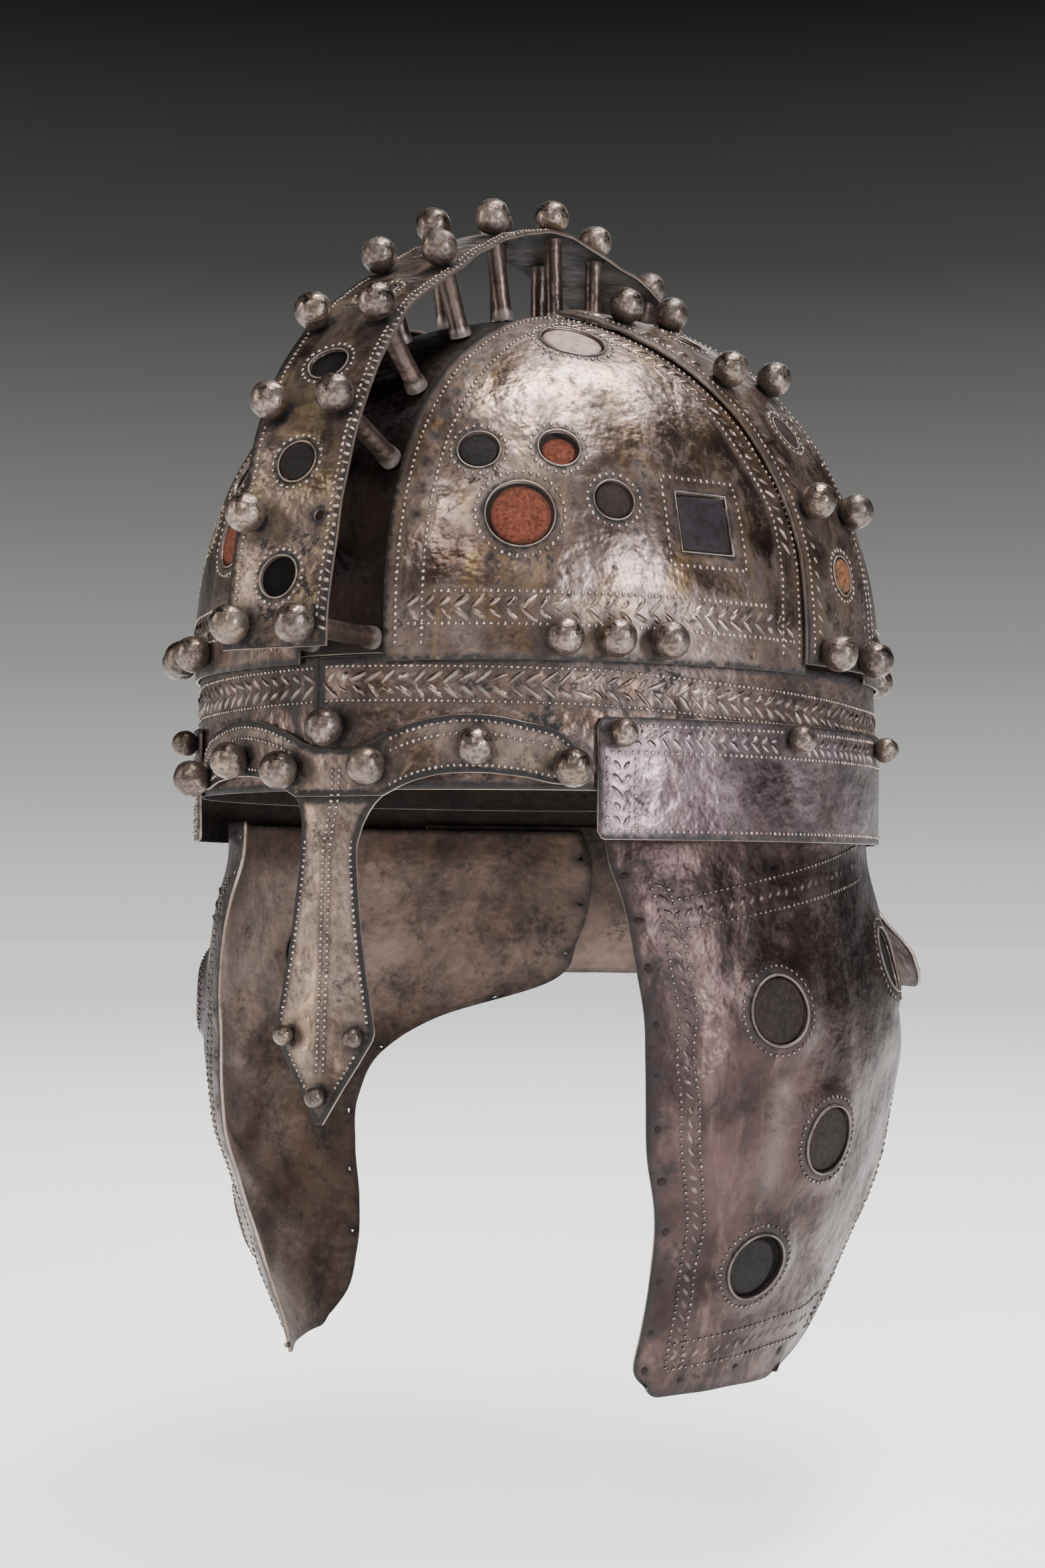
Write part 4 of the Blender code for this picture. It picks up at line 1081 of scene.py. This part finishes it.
for number, sign in post_places:
    side_name = "left" if sign > 0 else "right"
    x = np.array([sign * ROW_GAP / 2])
    here = np.array([float(posts[number])])
    top, along, across, outward = axes_on(crest_form, x, here)
    foot, _, _, up = axes_on(ridge_form, np.zeros(1), here)
    up = unit(up * (0, 1, 1))
    rise = float(np.sum((top - foot * (0, 1, 1)) * up))
    low = float(np.sum((ridge_form(x, here) - foot) * up)) - 0.3

    # The tube: a rolled silver pipe with a soldered foot ring and a seam; the pin inside it is not built
    tube = primitive(
        bpy.ops.mesh.primitive_cylinder_add, f"crest_tube_{number + 1:02d}_{side_name}",
        vertices=24, radius=1.0, depth=1.0, end_fill_type="NGON")
    bpy.ops.object.mode_set(mode="EDIT")
    bpy.context.tool_settings.mesh_select_mode = (False, False, True)
    for cut in (-0.40, -0.34, 0.43):
        bpy.ops.mesh.select_all(action="SELECT")
        bpy.ops.mesh.bisect(plane_co=(0, 0, cut), plane_no=(0, 0, 1))
    bpy.ops.object.mode_set(mode="OBJECT")
    own = own_points(tube)
    level = own[:, 2] + 0.5
    height = low + (rise - SHEET - low) * level
    wide = TUBE + np.where(level < 0.11, 0.40, 0.0) + np.where(level > 0.97, 0.35, 0.0)
    seam = np.where(np.abs(np.arctan2(own[:, 1], own[:, 0]) - 2.2) < 0.14, -0.35, 0.0)
    round_x = own[:, 0] * (wide + seam) + x[0]
    round_y = own[:, 1] * (wide + seam)
    ahead = np.cross(up[0], (1, 0, 0))
    spots = foot[0] * (0, 1, 1) + round_x[:, None] * (1, 0, 0) + round_y[:, None] * ahead
    set_points(tube, spots + height[:, None] * up[0])
    tube.data.materials.append(post_silver)
    # The tube is darkened at its foot and at its top under the strap, soot and painted shade, and its foot
    # ring is lighter
    marked(
        tube, np.where(level < 0.14, 0.3, 0.05),
        np.maximum(0.9 * np.exp(-level / 0.09), 0.7 * np.exp(-(1 - level) / 0.08)))
    clean_mesh(tube, 35)
    head = balls_at(
        "crest_ball", (top, along, across, outward), BALL, sink=0.98, seed=50 + 2 * number + (sign > 0))
    placed(joined(tube, head), f"crest_post_{number + 1:02d}_{side_name}")

# Eyebrow plate and nasal: one sheet of gilt silver cut to two arches and a nose guard that widens to a point.
# Bead rows follow its edges and run down its middle. Six balls and three small studs hold it.
BROW_MIDDLE = 7.8
BROW_END = 37.8
BROW_ANGLES = (BROW_MIDDLE, 11.6, 15.0, 21.5, 28.5, 35.0, BROW_END)
BROW_LOWS = (-12.3, -8.9, -7.0, -5.9, -7.0, -8.9, -7.7)
BROW_HIGHS = (4.6, 7.4, 9.1, 10.3, 8.4, 4.1, -1.4)
NASAL_TOP = 12.3
NASAL_TIP = 103.0
NASAL_DROPS = (
    NASAL_TOP, 14.0, 16.5, 20.0, 24.7, 30.0, 37.1, 44.0, 51.5,
    58.0, 65.9, 72.0, 77.3, 79.4, 86.0, 92.7, 98.0, NASAL_TIP)
NASAL_HALVES = (
    14.1, 12.6, 11.2, 10.0, 9.3, 9.25, 9.8, 10.5, 11.4, 12.4, 13.8, 14.9, 15.75, 15.2, 11.4, 7.1, 3.9, 0.9)
NASAL_OFFSET = -2.4
NASAL_LEAN = 4.0
BROW_BALLS = ((6.2, -4.3), (-8.9, -4.7), (22.0, 1.2), (-20.8, -1.5), (35.4, -4.8), (-34.0, -6.0))
# Bead rows of the nasal: top, foot, corners, millimetres in from the edge or else off the middle
NASAL_ROWS = ((24, 77.0, 50, 1.7, 0), (80.5, 97.5, 20, 2.4, 0), (4, 89, 60, 0, 1.05))
NASAL_STUDS = ((0.70, 78.8), (-0.70, 78.8), (0.02, 95.3))


def brow_edges(degrees):
    """Lower and upper edge of the eyebrow plate at an angle."""
    away = np.abs(degrees)
    dip = 1.4 + 3.2 * np.clip(away / BROW_MIDDLE, 0, 1) ** 3
    low = np.where(away < BROW_MIDDLE, -NASAL_TOP, smooth_line(away, BROW_ANGLES, BROW_LOWS))
    high = np.where(away < BROW_MIDDLE, dip, smooth_line(away, BROW_ANGLES, BROW_HIGHS))
    return low, high


def nasal_swell(a, b, point):
    """The nasal leans out towards its tip and is crowned along its middle."""
    drop = np.clip(-b, 0, 110)
    return NASAL_LEAN * drop / NASAL_TIP


def nasal_place(share, drop):
    """Angle and height of a share of the nasal's half width at a drop."""
    offset = NASAL_OFFSET * np.clip((drop - NASAL_TOP) / 14.0, 0, 1)
    x = share * np.interp(drop, NASAL_DROPS, NASAL_HALVES) + offset
    return np.degrees(np.arcsin(x / HALF_WIDTH)), -drop


def brow_spread(u, v):
    angle = BROW_END * (2 * u - 1)
    low, high = brow_edges(angle)
    return angle, low + (high - low) * v


brow_face = face_over(head_form, PLATE_LIFT, dent=0.18, swell=nasal_swell)
nasal_silver = old_metal(
    "gilt silver of the nasal", "9c8b83", "56473f", "c8ae90", 0.6, 0.85, 0.20, soot_and_shade_depth=1.45, dents=1.2)

studs = axes_on(brow_face, *np.array(BROW_BALLS).T)
small = axes_on(brow_face, *nasal_place(*np.array(NASAL_STUDS).T))
beads = []
for sign in (1, -1):
    span = np.linspace(8.6, 35.5, 40)
    low, high = brow_edges(span)
    for row in (high - 1.9, high - 5.2, low + 2.2):
        beads.append(along_line(brow_face, sign * span, row, CLOSE_PITCH))
    for start, end, corners, inset, off in NASAL_ROWS:
        drop = np.linspace(start, end, corners)
        half = np.interp(drop, NASAL_DROPS, NASAL_HALVES)
        share = sign * (1 - inset / half) if inset else sign * (off / half)
        beads.append(along_line(brow_face, *nasal_place(share, drop), CLOSE_PITCH))
beads = together(beads)
beads = some(beads, distances(beads[0], together([studs, small])[0]) > 4.4)
# Round the beads, balls and studs the plate is darkened: soot in the hollows and painted shade at the studs'
# feet
soot_and_shade_marks = [(beads[0], 1.6, 0.6), (studs[0], 8.4, 1.0), (small[0], 5.0, 1.0)]


def nose_spread(u, v):
    drop = NASAL_TOP + (NASAL_TIP - NASAL_TOP) * v
    return nasal_place(2 * u - 1, drop)


brow = new_sheet(
    "eyebrow_part", brow_face, brow_spread, 126, 18, nasal_silver, inner_metal, soot_and_shade_marks=soot_and_shade_marks, edge_soot_and_shade=1.35)
nose = new_sheet(
    "nasal_part", brow_face, nose_spread, 26, 100, nasal_silver, inner_metal, soot_and_shade_marks=soot_and_shade_marks, edge_soot_and_shade=1.35)
fixed = [nose, stamped("nasal_beads", bead, beads, (0.58, 0.58, 0.55), bead_silver)]
fixed += balls_at("brow_ball", studs, BALL, seed=81)
fixed += balls_at("nasal_stud", small, 3.0, seed=82)
placed(joined(brow, fixed), "nasal_plate")

# Ear plates: a beaded plate over the brow band on each side, from the temple to the nape.
# Small ball studs hold its upper edge, and its middle field is left bare.
EAR_FOOT = -24.0
EAR_HEAD = 10.0
EAR_FRONT = 39.5
EAR_STUDS = (42.7, 73.0, 103.0, 133.0, 163.0)
ear_face = face_over(head_form, PLATE_LIFT, dent=0.22)
ear_silver = old_metal(
    "lilac-grey silver of the ear plates", "8f7e82", "4a3c40", "7f6a52", 0.3, 0.9, 0.18,
    soot_and_shade_depth=1.2, dents=0.95)

for side_name, side in SIDES:
    span = np.linspace(44.5, 178.0, 60)
    whole = np.linspace(41.2, 179.0, 60)
    flat = np.ones(60)
    beads = together([
        along_line(ear_face, span, 7.6 * flat, 2.0),
        along_line(ear_face, whole, 0.2 * flat, 2.0),
        along_line(ear_face, whole, -21.6 * flat, 2.0),
        along_line(ear_face, np.full(20, 40.9), np.linspace(-0.6, -21, 20), 2.1),
        along_line(ear_face, np.full(20, 45.2), np.linspace(-0.6, -21, 20), 2.1),
    ])
    column = np.linspace(-1.5, -20.5, 20)
    leaves = together([
        turned(along_line(ear_face, span, 5.2 * flat, 4.0), 42),
        turned(along_line(ear_face, span, 2.7 * flat, 4.0), -42),
        turned(along_line(ear_face, np.full(20, 42.4), column, 3.6), 40),
        turned(along_line(ear_face, np.full(20, 43.8), column, 3.6), -40),
    ])
    studs = axes_on(ear_face, np.array(EAR_STUDS), np.full(5, 5.5))
    beads = some(beads, distances(beads[0], studs[0]) > 4.4)
    leaves = some(leaves, distances(leaves[0], studs[0]) > 5.0)

    def ear_spread(u, v):
        angle = EAR_FRONT + (179.7 - EAR_FRONT) * u
        off = np.clip((1.3 - (angle - EAR_FRONT)) / 1.3, 0, 1)
        curl = 1 - np.sqrt(1 - off**2)
        low = EAR_FOOT + 2.4 * curl
        high = EAR_HEAD - 2.4 * curl
        return angle, low + (high - low) * v

    # Round the beads, leaves and studs the plate is darkened: soot in the hollows and painted shade at the
    # studs' feet
    soot_and_shade_marks = [(beads[0], 1.4, 0.5), (leaves[0], 2.0, 0.3), (studs[0], 5.8, 1.0)]
    made = new_sheet(
        f"ear_plate_{side_name}_sheet", ear_face, ear_spread, 230, 26, ear_silver, inner_metal, side,
        soot_and_shade_marks=soot_and_shade_marks)
    fixed = [
        stamped("ear_beads", bead, beads, (0.58, 0.58, 0.55), bead_silver, side),
        stamped(
            "ear_leaves", leaf, leaves, (2.0, 0.75, 0.55), ear_silver, side, rub_and_light=(0.0, 0.5), soot_and_shade=(0.2, 0.0)),
    ]
    fixed += balls_at("ear_stud", studs, 4.2, side, seed=90 + side)
    placed(joined(made, fixed), f"ear_plate_{side_name}")

# Cheek pieces: large curved sheets of gilt silver, once sewn to a leather lining along their edges.
# Each has raised bosses with a hole for a glass disc, and double bead rows along its edges.
CHEEK_TOP = 18.0
CHEEK_DROP = 167.0
CHEEK_SWELL = 10.0
CHEEK_DROPS = (0.00, 0.06, 0.14, 0.24, 0.34, 0.41, 0.48, 0.57, 0.67, 0.78, 0.88, 0.96, 1.00)
CHEEK_FRONTS = (43.5, 43.8, 45.8, 47.2, 48.7, 49.0, 49.2, 49.8, 52.6, 53.8, 54.0, 54.0, 55.0)
CHEEK_REARS = (156.0, 158.0, 158.0, 155.6, 149.6, 130.0, 118.5, 112.5, 110.3, 108.0, 104.2, 97.4, 90.4)
CHEEK_FRONT_OUT = (-1.30, -1.28, -0.95, -0.72, -0.66, -0.68, -0.74, -0.88, -1.32, -1.85, -2.40, -2.90, -3.00)
CHEEK_REAR_OUT = (-0.23, -0.23, 0.05, 0.42, 0.80, 0.85, 0.68, 0.38, -0.05, -0.80, -1.42, -2.02, -2.35)
CHEEK_SETTINGS = (
    ("cheek_hole", 102.0, 0.250, False),
    ("cheek_disc_upper", 69.0, 0.325, True),
    ("cheek_disc_middle", 80.3, 0.552, True),
    ("cheek_disc_lower", 71.8, 0.768, True),
)
CHEEK_HOLE = 10.0


def cheek_form(degrees, drop):
    """Points of the left cheek's outer face at an angle and a drop in millimetres under its top."""
    share = np.clip(drop / CHEEK_DROP, 0, 1)
    front = smooth_line(share, CHEEK_DROPS, CHEEK_FRONTS)
    front_out = smooth_line(share, CHEEK_DROPS, CHEEK_FRONT_OUT)
    rear_out = smooth_line(share, CHEEK_DROPS, CHEEK_REAR_OUT)
    part = np.clip((degrees - front) / (100.0 - front), 0, 1)
    swell = CHEEK_SWELL * (front_out + (rear_out - front_out) * part * (2 - part))
    height = -CHEEK_TOP - drop
    point, _, _, normal = axes_on(head_form, degrees + 0 * drop, height + 0 * degrees)
    return point + normal * swell[..., None]


cheek_centres = [
    cheek_form(np.float64(a), np.float64(CHEEK_DROP * share)) for _, a, share, _ in CHEEK_SETTINGS]


def boss_swell(a, b, point):
    """The sheet rises in a low boss round each setting."""
    lift = 0.0
    for centre in cheek_centres:
        away = np.linalg.norm(point - centre, axis=-1)
        rise = np.clip((19.0 - away) / 8.0, 0, 1)
        lift = lift + 2.1 * rise * rise * (3 - 2 * rise)
    return lift


cheek_face = face_over(cheek_form, 0.0, dent=0.42, swell=boss_swell)
cheek_silver = old_metal(
    "mauve-brown silver of the cheeks", "4f403e", "2a2222", "75625c", 0.5, 0.85, 0.30,
    soot_and_shade_depth=1.1, dents=1.1, streak=2.5)
# The cheeks' inner face is lighter than the other inner faces: painted light on the far cheek's lit inside
cheek_inside = old_metal(
    "pitted and lit inner face of the cheeks", "6f5b51", "43352f", "7a6251", 0.5, 0.7, 0.40, metallic=0.45)

# The small sewing holes are choked with black corrosion
hole_black = paste("black corrosion in the sewing holes", "1d1715", "0d0a0a", 0.8, 0.9, 0.2)


def cheek_spread(u, v):
    """Places of the cheek piece: its two lower corners are rounded off."""
    low = np.clip((v - 0.93) / 0.07, 0, 1) ** 2
    front_round = low * np.clip((0.15 - u) / 0.15, 0, 1) ** 2
    rear_round = low * np.clip((u - 0.85) / 0.15, 0, 1) ** 2
    front = smooth_line(v, CHEEK_DROPS, CHEEK_FRONTS) + 1.9 * front_round
    rear = smooth_line(v, CHEEK_DROPS, CHEEK_REARS) - 0.9 * rear_round
    return front + (rear - front) * u, CHEEK_DROP * v - 3.6 * front_round - 1.8 * rear_round


def cheek_inset(depth, v, from_rear=False):
    """The line depth millimetres inside the front or rear edge."""
    a, b = cheek_spread(np.full(len(v), 1.0 if from_rear else 0.0), v)
    return shifted(cheek_face, a, b, -depth if from_rear else depth, 0.0 * a)


for side_name, side in SIDES:
    v = np.linspace(0.10, 0.955, 60)
    short = np.linspace(0.45, 0.93, 40)
    beads = []
    for depth in (9.5, 14.5):
        beads.append(along_line(cheek_face, *cheek_inset(depth, v), 2.1))
    for depth in (3.5, 7.5):
        beads.append(along_line(cheek_face, *cheek_inset(depth, short, True), 2.3))
    line = np.linspace(0, 1, 30)
    beads.append(along_line(cheek_face, 53.0 + 46.0 * line, 23.0 - 16.5 * line, 2.1))
    beads.append(along_line(cheek_face, 53.0 + 46.0 * line, 31.5 - 15.0 * line, 2.1))
    beads.append(along_line(cheek_face, 60.0 + 38.0 * line, 151.0 - 7.0 * line, 2.1))
    beads.append(along_line(cheek_face, 60.0 + 33.0 * line, 159.0 - 4.0 * line, 2.1))
    leaves = [
        turned(along_line(cheek_face, *cheek_inset(12.0, v), 4.0), 35),
        turned(along_line(cheek_face, 53.0 + 46.0 * line, 27.2 - 15.7 * line, 3.8), 50),
        turned(along_line(cheek_face, *cheek_inset(5.5, short, True), 3.4), 40),
        turned(along_line(cheek_face, 60.0 + 35.0 * line, 155.2 - 5.5 * line, 3.8), 50),
    ]
    holes = []
    collars = []
    for (name, a, share, kept), centre in zip(CHEEK_SETTINGS, cheek_centres):
        drop = CHEEK_DROP * share
        if side > 0 or not kept:
            holes.append(("round", CHEEK_HOLE, a, drop))
        beads.append(ring_round(cheek_face, a, drop, 12.9, 2.1))
        collars.append(collar_at(cheek_face, a, drop, CHEEK_HOLE, cheek_silver, side, wide=0.5, high=0.7))
        if side > 0 or not kept:
            collars.append(shade_behind_hole(cheek_face, a, drop, CHEEK_HOLE, side))
        if kept and side > 0:
            lower = name == "cheek_disc_lower"
            gem = stone_at(
                f"{name}_{side_name}_stone", cheek_face, a, drop, 8.7 if lower else 9.6, 0.6,
                grey_glass if lower else brown_glass, side, bulge=0.5, ragged=0.03,
                shift=(-1.4, 0.3) if lower else (0.0, 0.0), seed=7)
            placed(gem, f"{name}_{side_name}")
    beads = together(beads)
    leaves = together(leaves)
    centres = np.array([cheek_face(np.float64(h[1]), np.float64(CHEEK_DROP * h[2])) for h in CHEEK_SETTINGS])
    open_count = len(holes)
    beads = some(beads, distances(beads[0], centres) > 12.2)
    leaves = some(leaves, distances(leaves[0], centres) > 15.5)
    for rise in (0.03, 0.095, 0.17, 0.25, 0.345, 0.43, 0.52, 0.61, 0.70, 0.79, 0.88, 0.95):
        a, b = cheek_inset(3.2, np.array([rise]))
        holes.append(("round", 0.95, float(a[0]), float(b[0])))
    for degrees in (64.0, 76.0, 88.0):
        holes.append(("round", 0.95, degrees, CHEEK_DROP - 4.5 - 0.15 * (degrees - 64.0)))
    for rise in (0.06, 0.16, 0.27, 0.37, 0.47, 0.60, 0.72, 0.84):
        a, b = cheek_inset(3.0, np.array([rise]), True)
        holes.append(("round", 1.05, float(a[0]), float(b[0])))
    sewing = holes[open_count:]
    holes = holes[:open_count] + (sewing if side < 0 else [])
    sewn = axes_on(cheek_face, np.array([h[2] for h in sewing]), np.array([h[3] for h in sewing]))
    # Round the beads, leaves and sewing holes the cheek is darkened: corrosion and soot with painted shade
    soot_and_shade_marks = [(beads[0], 1.4, 0.4), (leaves[0], 2.0, 0.25), (sewn[0], 2.6, 1.0)]
    rub_and_light_marks = [
        (cheek_face(np.full(12, 70.5), np.linspace(78, 103, 12)), 4.0, 0.10),
        (cheek_face(np.full(8, 77.5), np.linspace(46, 62, 8)), 3.8, 0.08),
    ]
    # On the far cheek the places round the closed bosses are darkened, and a painted pool of light lightens
    # the lower part of its inner face
    if side < 0:
        soot_and_shade_marks.append((centres[1:], 9.0, 0.8))
        rub_and_light_marks = [(cheek_face(np.linspace(60, 70, 9), np.linspace(112, 150, 9)), 15.0, 0.3)]
    made = new_sheet(
        f"cheek_{side_name}_sheet", cheek_face, cheek_spread, 80, 112, cheek_silver, cheek_inside, side,
        holes=holes, soot_and_shade_marks=soot_and_shade_marks, rub_and_light_marks=rub_and_light_marks)
    fixed = [
        stamped("cheek_beads", bead, beads, (0.60, 0.60, 0.48), cheek_silver, side, rub_and_light=(0.0, 0.55)),
        stamped(
            "cheek_leaves", leaf, leaves, (1.8, 0.7, 0.4), cheek_silver, side,
            rub_and_light=(0.0, 0.25), soot_and_shade=(0.3, 0.0)),
    ]
    fixed += collars
    if side > 0:
        fixed.append(stamped(
            "sewing_holes", bead, sewn, (1.15, 1.15, 0.25), hole_black, side, rub_and_light=(0, 0), soot_and_shade=(1, 1)))
    placed(joined(made, fixed), f"cheek_piece_{side_name}")

# Neck guard: one curved sheet under the ear plates at the nape, its lower edge flared outwards.
# It was sewn to the same lining as the cheeks, and a bead row follows its edge.
NECK_TOP = 16.0
NECK_DROP = 54.5
NECK_FLARE = 20.0
NECK_FRONT = 125.0
NECK_SHARES = (0.00, 0.17, 0.40, 0.60, 0.78, 1.00)
NECK_OUTS = (-0.015, -0.015, 0.06, 0.20, 0.52, 1.0)


def neck_form(degrees, drop):
    """Points of the neck guard's outer face at an angle and a drop in millimetres."""
    flare = NECK_FLARE * smooth_line(np.clip(drop / NECK_DROP, 0, 1), NECK_SHARES, NECK_OUTS)
    lobe = np.clip((np.abs(degrees - 180) - 42) / 13, 0, 1) * np.exp(-(((drop - 41) / 11) ** 2))
    point, _, _, normal = axes_on(head_form, degrees + 0 * drop, -NECK_TOP - drop + 0 * degrees)
    return point + normal * (flare + 5.0 * lobe)[..., None]


def neck_spread(u, v):
    degrees = NECK_FRONT + (360 - 2 * NECK_FRONT) * u
    off = np.clip((np.abs(2 * u - 1) - 0.88) / 0.12, 0, 1)
    lift = 11.0 * (1 - np.sqrt(1 - off**2))
    return degrees, (NECK_DROP - lift) * v


neck_face = face_over(neck_form, 0.0, dent=0.25)
span = np.linspace(NECK_FRONT + 3, 357 - NECK_FRONT, 60)
beads = together([
    along_line(neck_face, span, np.full(60, 50.0), 2.2),
    along_line(neck_face, span, np.full(60, 42.0), 2.2),
])
leaves = turned(along_line(neck_face, span, np.full(60, 46.0), 4.0), 42)
# The upper part of the neck guard, under the ear plates, is darkened as painted shade
soot_and_shade_marks = [(beads[0], 1.4, 0.4), (leaves[0], 2.0, 0.3), (neck_face(span, np.full(60, 3.0)), 27.0, 0.85)]
neck = new_sheet("neck_guard_sheet", neck_face, neck_spread, 120, 40, cheek_silver, cheek_inside, soot_and_shade_marks=soot_and_shade_marks)
fixed = [
    stamped("neck_beads", bead, beads, (0.85, 0.85, 0.6), bead_silver),
    stamped("neck_leaves", leaf, leaves, (2.0, 0.75, 0.45), bead_silver, rub_and_light=(0.1, 0.6)),
]
placed(joined(neck, fixed), "neck_guard")

# The three patterns were only for copying
for pattern in pattern_pieces:
    bpy.data.objects.remove(pattern, do_unlink=True)

# Pale floor under the raised helmet that glows as a painted pool of light, soft lamps above, and the camera
# at the viewer's eye
floor = primitive(
    bpy.ops.mesh.primitive_circle_add, "pale_floor",
    vertices=96, radius=6.0, fill_type="NGON", location=(0, 0, -0.235))
paper, paper_sockets, paper_place = new_material("pale studio paper")
paper_colour = mixed(paper, noise(paper, paper_place, 30.0, 4.0, 0.5), "e6e5e2", "efeeec")
paper.node_tree.links.new(paper_colour, paper_sockets["Base Color"])
paper_sockets["Roughness"].default_value = 0.85
# The floor glows, most strongly near its middle and less further out: painted light, not a lamp
paper_sockets["Emission Color"].default_value = (1, 1, 1, 1)
paper_away = add_node(paper, "ShaderNodeVectorMath", {0: paper_place}, operation="LENGTH").outputs["Value"]
paper_glow = ranged(paper, paper_away, 0.0, 3.0, 1.6, 0.93)
paper.node_tree.links.new(paper_glow, paper_sockets["Emission Strength"])
floor.data.materials.append(paper)


def soft_lamp(name, place, aim, width, height, power, colour):
    """A large soft area lamp aimed at a point."""
    light = bpy.data.lights.new(name, "AREA")
    light.shape = "RECTANGLE"
    light.size = width
    light.size_y = height
    light.energy = power
    light.color = from_hex(colour)[:3]
    lamp = bpy.data.objects.new(name, light)
    bpy.context.scene.collection.objects.link(lamp)
    lamp.location = place
    lamp.rotation_euler = (Vector(aim) - Vector(place)).to_track_quat("-Z", "Y").to_euler()


soft_lamp("top_soft_lamp", (0.28, 0.03, 1.20), (0, 0, 0.05), 1.0, 0.30, 27, "fffaf4")
soft_lamp("left_soft_lamp", (-1.05, -1.0, 0.45), (0, 0, 0), 0.35, 0.9, 9, "fff6ee")
soft_lamp("right_soft_lamp", (1.40, -0.50, 0.30), (0, 0, 0), 0.22, 0.7, 17, "f8f8ff")
soft_lamp("front_soft_lamp", (0.55, -1.60, 1.05), (0, 0, 0), 0.9, 0.4, 12, "fff8f2")
soft_lamp("back_soft_lamp", (-0.5, 1.4, 0.9), (0, 0, 0.05), 0.9, 0.5, 2, "ffffff")

world = bpy.data.worlds.new("dim studio")
bpy.context.scene.world = world
world.use_nodes = True
background = world.node_tree.nodes["Background"]
sky_place = add_node(world, "ShaderNodeTexCoord").outputs["Generated"]
sky_height = add_node(world, "ShaderNodeSeparateXYZ", {0: sky_place}).outputs["Z"]
sky_ramp = add_node(world, "ShaderNodeValToRGB", {"Fac": ranged(world, sky_height, -0.3, 1.0)})

# Brightness of the studio from under the horizon up to overhead
stops = (
    (0.0, 1.0), (0.211, 0.88), (0.254, 0.535), (0.297, 0.32), (0.340, 0.205), (0.382, 0.125),
    (0.4225, 0.061), (0.50, 0.012), (0.75, 0.015), (1.0, 0.06))
while len(sky_ramp.color_ramp.elements) < len(stops):
    sky_ramp.color_ramp.elements.new(0.5)
for stop, (where, level) in zip(sky_ramp.color_ramp.elements, stops):
    stop.position = where
    stop.color = (level, level, level * 0.985, 1.0)
world.node_tree.links.new(sky_ramp.outputs["Color"], background.inputs["Color"])
background.inputs["Strength"].default_value = 1.0

# The camera's bearing, pitch, roll and place were fitted to the photo
BEARING = math.radians(28.57)
PITCH = math.radians(2.12)
ROLL = math.radians(-0.29)
CAMERA_PLACE = (0.3603, -0.6749, -0.0329)
back_way = Vector((math.sin(BEARING), -math.cos(BEARING), 0))
right_way = Vector((math.cos(BEARING), math.sin(BEARING), 0))
up_way = Vector((0, 0, 1)) * math.cos(PITCH) + back_way * math.sin(PITCH)
camera_right = right_way * math.cos(ROLL) - up_way * math.sin(ROLL)
camera_up = right_way * math.sin(ROLL) + up_way * math.cos(ROLL)
camera_back = camera_right.cross(camera_up)
lens = bpy.data.cameras.new("studio camera")
lens.lens = 54.41
lens.sensor_width = 36.0
camera = bpy.data.objects.new("studio_camera", lens)
bpy.context.scene.collection.objects.link(camera)
turn = np.array([camera_right, camera_up, camera_back]).T
camera.matrix_world = Matrix([[*turn[n], CAMERA_PLACE[n]] for n in range(3)] + [[0, 0, 0, 1]])
bpy.context.scene.camera = camera

bpy.context.view_layer.update()
